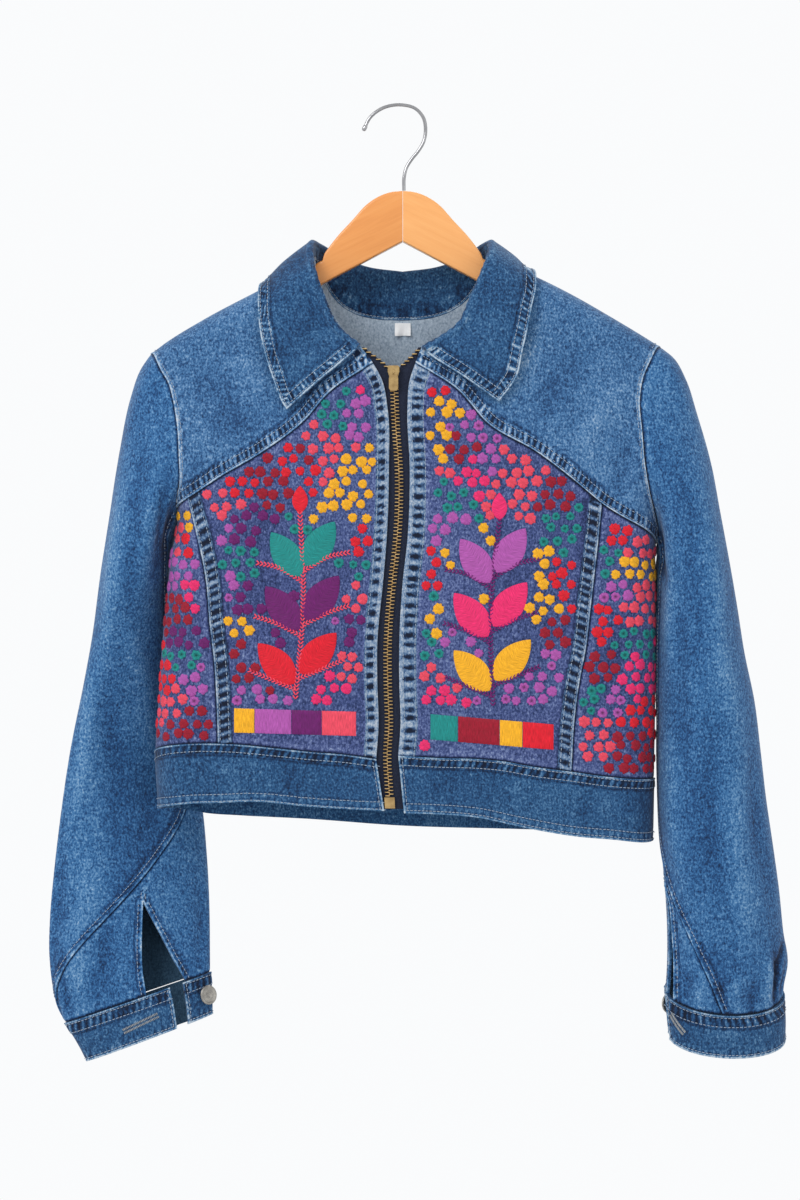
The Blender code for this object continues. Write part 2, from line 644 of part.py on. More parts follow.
def build_back(denim):
    left_armhole, right_armhole = cloth_line(LEFT_ARMHOLE), cloth_line(RIGHT_ARMHOLE)
    underarm_share = 0.42
    left_outline = joined_line(left_armhole, side_line(-1, -363, -565), underarm_share)
    right_outline = joined_line(right_armhole, side_line(1, -388, -588), underarm_share)
    neck_left_share, neck_right_share = 0.34, 0.66
    left_shoulder = shoulder_line(LEFT_ARMHOLE[0][0], LEFT_BACK_NECK[0][0])
    right_shoulder = shoulder_line(RIGHT_BACK_NECK[0][0], RIGHT_ARMHOLE[0][0])
    neck = joined_line(cloth_line(LEFT_BACK_NECK), reverse(cloth_line(RIGHT_BACK_NECK)), 0.5)
    neck_end = (neck_right_share - neck_left_share) / (1 - neck_left_share)
    neck_and_right = joined_line(neck, right_shoulder, neck_end)
    top = joined_line(left_shoulder, neck_and_right, neck_left_share)
    hem_top = cloth_line(BACK_HEM_TOP)
    half_neck = [0.06, 0.12, 0.18, 0.26, 0.37, 0.52, 0.74, 1.0]
    left_half = [neck_left_share + (0.5 - neck_left_share) * share for share in half_neck]
    right_half = [neck_right_share + (0.5 - neck_right_share) * share for share in reversed(half_neck[:-1])]
    columns = [share * neck_left_share for share in even(5)] + left_half + right_half
    columns += [neck_right_share + (1 - neck_right_share) * share for share in even(5)]
    back_seam_share = -LEFT_SLEEVE_SEAMS[0][2] / 180
    armhole_rows = two_runs(back_seam_share, TOP_SLEEVE_BACK_COLUMNS, UNDER_SLEEVE_COLUMNS)
    rows = [underarm_share * share for share in armhole_rows]
    rows += [underarm_share + (1 - underarm_share) * share for share in even(6)[1:]]
    torso_panel("back_panel", top, hem_top, left_outline, right_outline, columns, rows, denim, back=True,
                side_hold=4)
    torso_panel("hem_band_back", hem_top, cloth_line(BACK_HEM_BOTTOM), side_line(-1, -565, -615),
                side_line(1, -588, -642), columns, even(2), denim, back=True, wall=DOUBLE_WALL, proud=BAND_PROUD)


def ring_point(row, angle):
    """Place on a sleeve section. The row holds the sleeve columns, the angle is in degrees."""
    ring = dict(zip(SLEEVE_COLUMNS, row))
    cosine, sine = math.cos(math.radians(angle)), math.sin(math.radians(angle))
    outer = np.array([ring["outer_x"], ring["outer_y"], ring["outer_z"]])
    inner = np.array([ring["inner_x"], ring["inner_y"], ring["inner_z"]])
    depth = ring["front"] if sine > 0 else ring["back"]
    lean = np.array([ring["bow"] * sine * sine, -depth * sine, -ring["dip"] * sine])
    return (outer + inner) / 2 + (outer - inner) / 2 * cosine + lean


def armhole_ring(side, angle):
    """The armhole's place and outward normal on the torso at a sleeve angle."""
    line = cloth_line(LEFT_ARMHOLE if side < 0 else RIGHT_ARMHOLE)
    turned = (angle + 180) % 360 - 180
    across, height = line(abs(turned) / 180)
    back = turned < 0
    return torso_point(across, height, back), torso_normal(across, height, back)


def sleeve_surface(side):
    """Sleeve surface as a function of the angle and the share of its length."""
    rows = np.array(LEFT_SLEEVE if side < 0 else RIGHT_SLEEVE, float)
    middles = np.array([(ring_point(row, 0) + ring_point(row, 180)) / 2 for row in rows])
    lengths = np.concatenate([[0.0], np.cumsum(np.linalg.norm(np.diff(middles, axis=0), axis=1))])
    follow = profile(np.column_stack([lengths / lengths[-1], rows]))
    corrections = {}

    def correction(angle):
        key = round(angle, 4)
        if key not in corrections:
            corrections[key] = armhole_ring(side, angle)[0] - ring_point(rows[0], angle)
        return corrections[key]

    def place(angle, share):
        point = ring_point(follow(share), angle)
        fade = 1 - ease(share / ARMHOLE_FADE)
        if fade > 0:
            point = point + correction(angle) * fade
        return point
    return place


def sleeve_normal(place, angle, share, side):
    if share > 0.02:
        normal = sheet_normal(place, angle, share, 1e-2)
    else:
        normal = sheet_normal(place, angle, max(share, 0.003), 3e-3)
    middle = (place(0, share) + place(180, share)) / 2
    outward = place(angle, share) - middle
    return normal if np.dot(normal, outward) > 0 else -normal


def armhole_start(side, place, angle):
    """Outer point and normal of the sleeve where it meets the armhole."""
    point, torso_out = armhole_ring(side, angle)
    own = sleeve_normal(place, angle, 0.0, side)
    turned = abs((angle + 180) % 360 - 180)
    fold = ease((turned - FOLD_STARTS_AT) / (FOLD_ENDS_AT - FOLD_STARTS_AT))
    ahead = place(angle, 0.02) - place(angle, 0.0)
    ahead = ahead - np.dot(ahead, torso_out) * torso_out
    ahead = ahead / np.linalg.norm(ahead)
    offset = ahead * ARMHOLE_SEAM_GAP * (1 - fold) + torso_out * ARMHOLE_SEAM_GAP * fold
    normal = torso_out * (1 - fold) + own * fold
    return point + offset, normal / np.linalg.norm(normal)


def sleeve_half(name, side, place, angle_lines, rows, material, slit=None):
    """One cut piece of a sleeve: a list of angle ranges, each a function of the share of length."""
    points, normals, quads, index_of = [], [], [], {}

    def vertex(key, angle, share):
        if key not in index_of:
            index_of[key] = len(points)
            if share <= 0:
                point, normal = armhole_start(side, place, angle)
            else:
                point, normal = place(angle, share), sleeve_normal(place, angle, share, side)
            points.append(point)
            normals.append(normal)
        return index_of[key]

    for strip, (start_line, end_line, columns) in enumerate(angle_lines):
        count = len(columns) - 1
        for row_index in range(len(rows) - 1):
            for column in range(count):
                corners = []
                for step_row, step_column in ((0, 0), (0, 1), (1, 1), (1, 0)):
                    share = rows[row_index + step_row]
                    place_in_strip = columns[column + step_column]
                    angle = start_line(share) + (end_line(share) - start_line(share)) * place_in_strip
                    joins = count if strip == 0 else 0
                    if slit and share <= slit["starts"] + 1e-6 and column + step_column == joins:
                        key = ("slit", row_index + step_row)
                    else:
                        key = (strip, row_index + step_row, column + step_column)
                    corners.append(vertex(key, angle, share))
                quads.append(tuple(corners))
    return thick_sheet(name, np.array(points), np.array(normals), quads, WALL, material)


def build_sleeve(side, denim):
    word = "left" if side < 0 else "right"
    place = sleeve_surface(side)
    seams = profile(LEFT_SLEEVE_SEAMS if side < 0 else RIGHT_SLEEVE_SEAMS)
    slit = LEFT_SLIT if side < 0 else RIGHT_SLIT
    gap_angle = SEAM_GAP / 2 / 50 * 180 / math.pi

    def front_seam(share):
        return float(seams(share)[0])

    def back_seam(share):
        return float(seams(share)[1])

    def slit_edge(share, which):
        opened = max((share - slit["starts"]) / (1 - slit["starts"]), 0.0)
        return slit["start_angle"] + (slit[which] - slit["start_angle"]) * opened

    upper = [0, 0.02, 0.045, 0.08, 0.12, 0.17]
    lower = [0.23, 0.3, 0.37, 0.44, 0.51, 0.58, 0.65, 0.71, 0.77]
    ending = [slit["starts"], 0.88, 0.93, 0.97, 0.9995]
    rows = upper + lower + ending
    shoulder_column = -back_seam(0) / (front_seam(0) - back_seam(0))
    top_columns = two_runs(shoulder_column, TOP_SLEEVE_BACK_COLUMNS, TOP_SLEEVE_FRONT_COLUMNS)
    top_lines = [(lambda s: back_seam(s) + gap_angle, lambda s: front_seam(s) - gap_angle, top_columns)]
    sleeve_half("top_sleeve_" + word, side, place, top_lines, rows, denim)
    under_lines = [
        (lambda s: front_seam(s) + gap_angle,
         lambda s: max(slit_edge(s, "outer_angle"), front_seam(s) + SLIT_CLEAR_OF_SEAM), even(3)),
        (lambda s: max(slit_edge(s, "inner_angle"), front_seam(s) + SLIT_CLEAR_OF_SEAM),
         lambda s: back_seam(s) + 360 - gap_angle, even(UNDER_SLEEVE_COLUMNS)),
    ]
    sleeve_half("under_sleeve_" + word, side, place, under_lines, rows, denim, slit)


def cuff_surface(side):
    rows = np.array(LEFT_CUFF if side < 0 else RIGHT_CUFF, float)
    follow = profile(np.column_stack([even(len(rows) - 1), rows]))
    return lambda angle, share: ring_point(follow(share), angle)


def build_cuff(side, denim, steel):
    word = "left" if side < 0 else "right"
    place = cuff_surface(side)
    ends = LEFT_CUFF_ENDS if side < 0 else RIGHT_CUFF_ENDS
    start, end = ends["underlap"] - 360, ends["overlap"]
    columns, rows = 28, 3
    points, normals = [], []
    for row in range(rows):
        share = row / (rows - 1)
        for column in range(columns + 1):
            angle = start + (end - start) * column / columns
            points.append(place(angle, share))
            normals.append(sleeve_normal(place, angle, max(share, 0.03), side))
    thick_sheet("cuff_" + word, np.array(points), np.array(normals), grid_quads(columns + 1, rows),
                DOUBLE_WALL, denim, BAND_PROUD)
    angle = LEFT_BUTTON_ANGLE if side < 0 else RIGHT_BUTTON_ANGLE
    normal = sleeve_normal(place, angle, 0.5, side)
    seat = place(angle, 0.5) + normal * (BAND_PROUD + SEAM_GAP + 0.15)
    build_button("cuff_button_" + word, seat, normal, steel)


def turned_frame(normal):
    """Three axes at right angles, the last along a normal."""
    third = normal / np.linalg.norm(normal)
    first = np.cross(np.array([0.0, 0.0, 1.0]), third)
    first = first / np.linalg.norm(first)
    return first, np.cross(third, first), third


def build_button(name, seat, normal, steel, sides=16):
    """Tack button: a shank and a head with a rounded rim, turned about the normal."""
    first, second, third = turned_frame(normal)
    outline = [
        (SHANK_RADIUS, 0), (SHANK_RADIUS, SHANK_LENGTH), (BUTTON_RADIUS - 0.6, SHANK_LENGTH),
        (BUTTON_RADIUS, SHANK_LENGTH + 0.6), (BUTTON_RADIUS, SHANK_LENGTH + BUTTON_THICKNESS - 0.8),
        (BUTTON_RADIUS - 1.0, SHANK_LENGTH + BUTTON_THICKNESS),
    ]
    shape = bmesh.new()
    rings = []
    for radius, height in outline:
        ring = []
        for index in range(sides):
            turn = 2 * math.pi * index / sides
            point = seat + third * height + (first * math.cos(turn) + second * math.sin(turn)) * radius
            ring.append(shape.verts.new(point * MM))
        rings.append(ring)
    for lower, upper in zip(rings, rings[1:]):
        for index in range(sides):
            following = (index + 1) % sides
            shape.faces.new([lower[index], lower[following], upper[following], upper[index]])
    shape.faces.new(list(reversed(rings[0])))
    shape.faces.new(rings[-1])
    return finish_mesh(name, shape, steel)


def half_neckline(side):
    """The neckline from the centre back over the shoulder to the front, by its share of length.

    Each value holds the place, the torso's outward normal and the way into the neck opening.
    """
    back_line = cloth_line(LEFT_BACK_NECK if side < 0 else RIGHT_BACK_NECK)
    front_line = cloth_line(LEFT_FRONT_NECK if side < 0 else RIGHT_FRONT_NECK)
    places = [(back_line(1 - share), True) for share in even(14)[:-1]]
    places += [(front_line(share), False) for share in even(14)]
    points = np.array([torso_point(*flat, back) for flat, back in places])
    normals = np.array([torso_normal(*flat, back) for flat, back in places])
    lengths = np.concatenate([[0.0], np.cumsum(np.linalg.norm(np.diff(points, axis=0), axis=1))])
    shares = lengths / lengths[-1]
    tangents = np.gradient(points, shares, axis=0)
    ways_in = np.cross(normals, tangents)
    for way, point in zip(ways_in, points):
        way *= math.copysign(1.0, np.dot(way, NECK_MIDDLE - point)) / np.linalg.norm(way)
    shoulder_share = shares[14]
    along = [SHOULDER_ALONG * share / shoulder_share if share <= shoulder_share
             else SHOULDER_ALONG + (1 - SHOULDER_ALONG) * (share - shoulder_share) / (1 - shoulder_share)
             for share in shares]
    return profile(np.column_stack([along, points, normals, ways_in]))


def collar_sections():
    """Neckline values and roll and edge points, from the collar's left end (-1) to its right end (1)."""
    tables = {-1: profile(LEFT_COLLAR), 1: profile(RIGHT_COLLAR)}
    necklines = {-1: half_neckline(-1), 1: half_neckline(1)}

    def section(place):
        side = -1 if place < 0 else 1
        row = tables[side](abs(place))
        neckline = necklines[side](abs(place))
        return neckline[0:3], neckline[3:6], neckline[6:9], row[0:3], row[3:6]
    return section


def collar_place(section, place, share):
    """Place on the collar's outer side, from the neck seam (0) over the roll (0.4) to the free edge (1)."""
    neck, torso_out, way_in, roll, edge = section(place)
    roll = roll + torso_out * max(STAND_AT_LEAST - np.linalg.norm(roll - neck), 0.0)
    rise = (roll - neck) / np.linalg.norm(roll - neck)
    along = section(min(place + 0.02, 1.0))[3] - section(max(place - 0.02, -1.0))[3]
    outward = np.cross(rise, along)
    outward = outward / np.linalg.norm(outward)
    fold = COLLAR_FOLD_WIDTH
    neck_in = neck + way_in * NECK_SEAM_GAP + torso_out * NECK_STEP
    middle = (roll + outward * fold + edge) / 2 + torso_out * COLLAR_BULGE
    stops = [0.0, 0.18, 0.34, 0.42, 0.5, 0.75, 1.0]
    controls = [
        neck_in, (neck_in + roll) / 2, roll - rise * 0.6, roll + outward * fold / 2 + rise * 1.8,
        roll + outward * fold - rise * 0.6, middle, edge,
    ]
    table = np.column_stack([stops, np.array(controls)])
    point = profile(table)(share)
    if share > 0.44:
        lift = COLLAR_LIFT + COLLAR_EDGE_LIFT * ease((share - 0.5) * 2)
        point = point + (clear_of_torso(point, lift) - point) * ease((share - 0.44) / 0.1)
    return point


def build_collar(denim):
    section = collar_sections()

    def place(u, v):
        return collar_place(section, u, v)
    columns = [-1 + 2 * share for share in even(44)]
    rows = [0, 0.12, 0.24, 0.34, 0.385, 0.42, 0.455, 0.5, 0.6, 0.72, 0.85, 1]
    points, normals = [], []
    for v in rows:
        for u in columns:
            normal = sheet_normal(place, u, min(max(v, 0.01), 0.99), 4e-3)
            torso_out = section(u)[1]
            if v < COLLAR_ABOVE_SEAM:
                normal = normal - max(np.dot(normal, torso_out), 0.0) * torso_out
            points.append(place(u, v))
            normals.append(normal / np.linalg.norm(normal))
    return thick_sheet("collar", np.array(points), np.array(normals), grid_quads(len(columns), len(rows)),
                       COLLAR_WALL, denim)


def build_label(white):
    """Care label, left blank, which hangs inside the back neck."""
    flat = cloth_line([(-LABEL_WIDTH / 2, -187), (LABEL_WIDTH / 2, -187)])
    low = cloth_line([(-LABEL_WIDTH / 2, -187 - LABEL_HEIGHT), (LABEL_WIDTH / 2, -187 - LABEL_HEIGHT)])
    patch = coons(flat, low, straight(flat(0), low(0)), straight(flat(1), low(1)))
    inside = WALL + SEAM_GAP
    points, normals = [], []
    for v in even(2):
        for u in even(3):
            normal = torso_normal(*patch(u, v), True)
            points.append(torso_point(*patch(u, v), True) - normal * inside)
            normals.append(normal)
    thick_sheet("care_label", np.array(points), np.array(normals), grid_quads(4, 3), 1.0, white)


chain_profile = profile([(z, x) for x, z in ZIP_CHAIN_LINE])


def chain_x(z):
    return float(chain_profile(z)[0])


def strip_on_front(name, lines, z_values, depth_in, thickness, material):
    """Strip along the zip: its two edges are functions of z, it lies a depth inside the front's surface."""
    points, normals = [], []
    for z in z_values:
        low, high = lines(z)
        for share in even(2):
            flat = (low + (high - low) * share, z)
            normal = torso_normal(*flat)
            points.append(torso_point(*flat) - normal * depth_in)
            normals.append(normal)
    quads = grid_quads(3, len(z_values))
    return thick_sheet(name, np.array(points), np.array(normals), quads, thickness, material)


def build_zip(navy, brass):
    left_edge = profile([(z, x) for x, z in LEFT_FRONT_EDGE] + [(-614, -16)])
    right_edge = profile([(z, x) for x, z in RIGHT_FRONT_EDGE] + [(-617, 1)])
    tape_in = WALL + SEAM_GAP + 0.9
    tape_top, open_from = -213.0, SLIDER_Z - 4
    rows = [tape_top, -219, -225, -231, open_from]
    rows += [open_from + (ZIP_TAPE_BOTTOM - open_from) * share for share in even(20)[1:]]

    def opening(z):
        return ease((z - open_from) / (tape_top - open_from)) ** 0.8

    def left_lines(z):
        inner = chain_x(min(z, SLIDER_Z)) - 0.3
        edge = float(left_edge(z)[0])
        inner = inner + (edge + 3 - inner) * opening(z)
        return edge - ZIP_TAPE_UNDER_FRONT, inner

    def right_lines(z):
        inner = chain_x(min(z, SLIDER_Z)) + 0.3
        edge = float(right_edge(z)[0])
        inner = inner + (edge - 3 - inner) * opening(z)
        return inner, edge + ZIP_TAPE_UNDER_FRONT

    strip_on_front("zip_tape_left", left_lines, rows, tape_in, ZIP_TAPE_THICKNESS, navy)
    strip_on_front("zip_tape_right", right_lines, rows, tape_in, ZIP_TAPE_THICKNESS, navy)

    chain_in = tape_in - SEAM_GAP - ZIP_CHAIN_THICKNESS

    def chain_lines(z):
        return chain_x(z) - ZIP_CHAIN_HALF_WIDTH, chain_x(z) + ZIP_CHAIN_HALF_WIDTH
    chain_rows = [ZIP_CHAIN_TOP + (ZIP_CHAIN_BOTTOM - ZIP_CHAIN_TOP) * share for share in even(20)]
    strip_on_front("zip_chain", chain_lines, chain_rows, chain_in, ZIP_CHAIN_THICKNESS, brass)

    stop_top = ZIP_CHAIN_BOTTOM - SEAM_GAP
    stop_in = tape_in - SEAM_GAP - ZIP_STOP_THICKNESS

    def stop_lines(z):
        return chain_x(z) - ZIP_STOP_HALF_WIDTH, chain_x(z) + ZIP_STOP_HALF_WIDTH
    strip_on_front("zip_bottom_stop", stop_lines, [stop_top, stop_top - ZIP_STOP_HEIGHT], stop_in,
                   ZIP_STOP_THICKNESS, brass)
    build_slider(chain_in, brass)


def build_slider(chain_in, brass):
    """Zip slider with its bridge, and the pull tab that hangs from the bridge."""
    x = chain_x(SLIDER_Z)
    lower_end = torso_point(x, SLIDER_Z - SLIDER_HALF_HEIGHT)
    chain_front = lower_end[1] + chain_in
    plate_back = chain_front - SEAM_GAP
    plate_front = plate_back - SLIDER_THICKNESS
    axis_y = plate_front - PULL_AXIS_OFF_SLIDER

    # Plate with cut corners, wider at the top, joined to a half ring that is the bridge
    shape = bmesh.new()
    wide, slim, high = SLIDER_HALF_WIDTH, SLIDER_HALF_WIDTH * 0.72, SLIDER_HALF_HEIGHT
    outline = [(-wide + 1.2, high), (wide - 1.2, high), (wide, high - 1.5), (wide, 0), (slim, -high + 1),
               (slim - 1, -high), (-slim + 1, -high), (-slim, -high + 1), (-wide, 0), (-wide, high - 1.5)]
    layers = [(plate_back, 1.0), (plate_front + 0.5, 1.0), (plate_front, 0.9)]
    rings = [[shape.verts.new(((x + px * scale) * MM, y * MM, (SLIDER_Z + pz * scale) * MM))
              for px, pz in outline] for y, scale in layers]
    for lower, upper in zip(rings, rings[1:]):
        for index in range(len(outline)):
            following = (index + 1) % len(outline)
            shape.faces.new([lower[index], lower[following], upper[following], upper[index]])
    shape.faces.new(rings[0])
    shape.faces.new(list(reversed(rings[-1])))
    slider = finish_mesh("zip_slider", shape, brass)

    ring = bmesh.new()
    steps, sunk = 10, PULL_AXIS_OFF_SLIDER + 0.6
    arc = []
    for index in range(steps + 1):
        turn = math.pi * index / steps
        arc.append((-math.sin(turn), math.cos(turn)))
    loops = []
    for radius in (BRIDGE_INNER_RADIUS, BRIDGE_OUTER_RADIUS):
        for offset in (-BRIDGE_WIDTH / 2, BRIDGE_WIDTH / 2):
            line = [(sunk, radius)] + [(along * radius, up * radius) for along, up in arc] + [(sunk, -radius)]
            loops.append([ring.verts.new(((x + offset) * MM, (axis_y + y) * MM, (SLIDER_Z + z) * MM))
                          for y, z in line])
    order = [loops[0], loops[1], loops[3], loops[2]]
    for first, second in zip(order, order[1:] + order[:1]):
        for index in range(len(first) - 1):
            ring.faces.new([first[index], first[index + 1], second[index + 1], second[index]])
    ring.faces.new([loop[0] for loop in order])
    ring.faces.new([loop[-1] for loop in reversed(order)])
    bridge = finish_mesh("zip_bridge_shape", ring, brass)
    union = slider.modifiers.new("bridge", "BOOLEAN")
    union.operation = "UNION"
    union.object = bridge
    bridge.hide_render = True
    bridge.display_type = "WIRE"
    build_pull(x, axis_y, brass)


def build_pull(x, axis_y, brass):
    """Pull tab: a plate with a window near its top, whose upper bar lies in the bridge."""
    axis = bpy.data.objects.new("pull_axis", None)
    bpy.context.collection.objects.link(axis)
    axis.location = (x * MM, axis_y * MM, SLIDER_Z * MM)
    half, top, bottom = PULL_THICKNESS / 2, PULL_THICKNESS / 2, -PULL_LENGTH
    shape = bmesh.new()
    outer = [(-2.6, top), (2.6, top), (3.4, -3), (PULL_WIDTH / 2, -6), (PULL_WIDTH / 2, bottom + 2),
             (2.6, bottom), (-2.6, bottom), (-PULL_WIDTH / 2, bottom + 2), (-PULL_WIDTH / 2, -6), (-3.4, -3)]
    w = PULL_WINDOW_WIDTH / 2
    window = [(-w, -PULL_THICKNESS / 2), (w, -PULL_THICKNESS / 2), (w, -2.0), (w, -PULL_WINDOW_END),
              (-w, -PULL_WINDOW_END), (-w, -2.0)]
    layers = []
    for y in (half, -half):
        layers.append(([shape.verts.new((px * MM, y * MM, pz * MM)) for px, pz in outer],
                       [shape.verts.new((px * MM, y * MM, pz * MM)) for px, pz in window]))
    (outer_back, window_back), (outer_front, window_front) = layers
    for index in range(len(outer)):
        following = (index + 1) % len(outer)
        shape.faces.new([outer_back[index], outer_back[following], outer_front[following], outer_front[index]])
    for index in range(len(window)):
        following = (index + 1) % len(window)
        shape.faces.new([window_back[index], window_front[index], window_front[following],
                         window_back[following]])
    for rim, hole in layers:
        edges = [shape.edges.get((loop[index], loop[(index + 1) % len(loop)]))
                 for loop in (rim, hole) for index in range(len(loop))]
        bmesh.ops.triangle_fill(shape, use_beauty=True, use_dissolve=False, edges=edges)
    pull = finish_mesh("zip_pull", shape, brass)
    pull.parent = axis
    return pull


def hanger_rest_z(x):
    """Height at which the jacket's shoulder rests on the hanger."""
    slope = (shoulder_z(x + 1) - shoulder_z(x - 1)) / 2
    return shoulder_z(x) - (WALL + SEAM_GAP) * math.sqrt(1 + slope * slope) - HANGER_CLEAR


def build_hanger(wood, steel):
    for side in (-1, 1):
        word = "left" if side < 0 else "right"
        neck = profile(HANGER_NECK)
        distances = [SEAM_GAP / 2, 9, 18, 26, 34, 42, 50, 58, 65, 70, 76, 84, 105, 125, 145, 162, 175, 184,
                     HANGER_END]
        sections = []
        for distance in distances:
            if distance <= HANGER_NECK_ENDS:
                top, bottom = [float(value) for value in neck(distance)]
            else:
                spread = (distance - HANGER_NECK_ENDS) / (HANGER_END - HANGER_NECK_ENDS)
                height = HANGER_ARM_HEIGHT + (HANGER_TIP_HEIGHT - HANGER_ARM_HEIGHT) * spread
                top = hanger_rest_z(side * distance)
                bottom = top - height
            if distance > HANGER_NECK_ENDS - 14:
                top = min(top, hanger_rest_z(side * distance))
            sections.append((distance, top, bottom))
        shape = bmesh.new()
        rings = []
        for distance, top, bottom in sections:
            tip = ease((distance - HANGER_END + 10) / 10)
            top, bottom = top - 3.5 * tip, bottom + 3.5 * tip
            half = HANGER_HALF_THICKNESS * (1 - 0.25 * tip)
            cut = 2.2
            outline = [(half * 0.35, top), (half * 0.75, top - 0.9), (half, top - 2.8), (half, bottom + cut),
                       (half - cut, bottom)]
            outline = outline + [(-y, z) for y, z in reversed(outline)]
            rings.append([shape.verts.new((side * distance * MM, y * MM, z * MM)) for y, z in outline])
        for first, second in zip(rings, rings[1:]):
            for index in range(len(first)):
                following = (index + 1) % len(first)
                shape.faces.new([first[index], first[following], second[following], second[index]])
        shape.faces.new(rings[0])
        shape.faces.new(list(reversed(rings[-1])))
        finish_mesh("hanger_arm_" + word, shape, wood)

    line = smooth_curve(HOOK_LINE)
    curve = bpy.data.curves.new("hook", "CURVE")
    curve.dimensions = "3D"
    curve.bevel_depth = HOOK_WIRE_RADIUS * MM
    curve.bevel_resolution = 2
    curve.use_fill_caps = True
    steps = 36
    spline = curve.splines.new("POLY")
    spline.points.add(steps)
    for index, share in enumerate(even(steps)):
        x, z = line(share)
        spline.points[index].co = (x * MM, 0.0, z * MM, 1.0)
    hook = bpy.data.objects.new("hook", curve)
    bpy.context.collection.objects.link(hook)
    curve.materials.append(steel)


def main():
    clear_scene()
    denim = make_material("denim", (0.075, 0.19, 0.38), 0.85)
    navy = make_material("zip_tape", (0.01, 0.015, 0.03), 0.8)
    brass = make_material("antique_brass", (0.55, 0.36, 0.15), 0.35, 1.0)
    steel = make_material("bright_steel", (0.75, 0.76, 0.78), 0.25, 1.0)
    button_metal = make_material("button_metal", (0.45, 0.43, 0.38), 0.4, 1.0)
    white = make_material("label_cloth", (0.85, 0.86, 0.9), 0.7)
    wood = make_material("beech", (0.62, 0.32, 0.11), 0.45)
    build_hanger(wood, steel)
    build_collar(denim)
    build_label(white)
    for side in (-1, 1):
        build_front(side, denim)
        build_sleeve(side, denim)
        build_cuff(side, denim, button_metal)
    build_back(denim)
    build_zip(navy, brass)


main()
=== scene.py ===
"""The looks of a cropped denim jacket with a zip and bright embroidery, on a wooden hanger.

The tables and functions work in millimetres, as the part's own source does, with +X to the right, +Y to
the back and +Z up. Cloth coordinates run on round the torso's edges. Meshes are made in metres.
"""
import math

import bpy
import numpy as np
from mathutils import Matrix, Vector


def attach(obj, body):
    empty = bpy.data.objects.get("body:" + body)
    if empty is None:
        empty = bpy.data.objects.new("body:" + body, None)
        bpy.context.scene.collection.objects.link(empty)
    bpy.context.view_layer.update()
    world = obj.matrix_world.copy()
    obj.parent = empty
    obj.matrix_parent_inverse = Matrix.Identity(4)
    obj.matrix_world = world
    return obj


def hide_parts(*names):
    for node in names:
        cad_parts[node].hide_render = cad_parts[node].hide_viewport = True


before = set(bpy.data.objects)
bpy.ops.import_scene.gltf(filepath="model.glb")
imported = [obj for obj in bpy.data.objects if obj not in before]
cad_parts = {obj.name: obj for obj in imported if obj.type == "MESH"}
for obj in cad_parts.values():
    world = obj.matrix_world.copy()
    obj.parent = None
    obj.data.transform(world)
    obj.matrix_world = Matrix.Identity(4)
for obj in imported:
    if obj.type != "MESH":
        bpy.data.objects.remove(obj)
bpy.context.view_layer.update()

MM = 0.001
LEFT, RIGHT = -1, 1
WORDS = {LEFT: "left", RIGHT: "right"}

# Cloth and seams
WALL = 1.6
DOUBLE_WALL = 2.6
COLLAR_WALL = 2.4
SEAM_GAP = 0.32
BAND_PROUD = 0.5

# Torso section: how far the cloth rounds over at the shoulder line and at the side edges
SHOULDER_ROUND = 20.0
SIDE_ROUND = 30.0
FRONT_DEPTH_AT_SHOULDER = 24.0
BACK_DEPTH_AT_SHOULDER = 22.0
DEPTH_GAINED_AT_CHEST = 18.0
CHEST_BELOW_SHOULDER = 150.0
HEM_SLIMMING = 0.16
SLIMMING_STARTS_AT = -400.0
SLIMMING_LENGTH = 220.0

# How much longer the rounding's arc is than its flat projection
ARC_EXTRA = math.pi / 2 - 1

# Hanger
HANGER_HALF_THICKNESS = 6.5
HANGER_END = 188.0
HANGER_ARM_HEIGHT = 24.0
HANGER_TIP_HEIGHT = 15.0
HANGER_NECK_ENDS = 84.0
HANGER_CLEAR = 1.0
HOOK_WIRE_RADIUS = 1.55

# Zip
ZIP_TAPE_THICKNESS = 1.0
ZIP_TAPE_UNDER_FRONT = 7.0
ZIP_CHAIN_BOTTOM = -603.0
ZIP_TAPE_BOTTOM = -613.5
SLIDER_Z = -235.0
# Cuff buttons
BUTTON_RADIUS = 8.5
SHANK_RADIUS = 3.0
SHANK_LENGTH = 1.2

# Care label
LABEL_WIDTH = 14.0
LABEL_HEIGHT = 11.0

# Shoulder line seen from the front: x, z
SHOULDER_LINE = [
    (-262, -246), (-221, -217), (-209, -208), (-175, -187), (-124, -160), (-77, -135), (-40, -119),
    (0, -113), (40, -117), (76, -133), (112, -147), (143, -162), (182, -184), (226, -211), (262, -236),
]

# Side edges of the torso seen from the front: z, x. Above the underarm they run on under the sleeve.
TORSO_EDGES = {
    LEFT: [
        (-660, -213), (-615, -214), (-565, -216.5), (-520, -214), (-463, -210), (-421, -206), (-399, -204),
        (-363, -198), (-352, -199), (-334, -204.5), (-304, -217), (-271, -230), (-243, -241), (-217, -252),
        (-170, -266),
    ],
    RIGHT: [
        (-660, 218.5), (-637, 219), (-588, 220), (-536, 221), (-483, 221.5), (-428, 221.5), (-388, 221.5),
        (-368, 223.5), (-346, 226), (-321, 232), (-287, 241), (-236, 252), (-211, 258), (-170, 270),
    ],
}

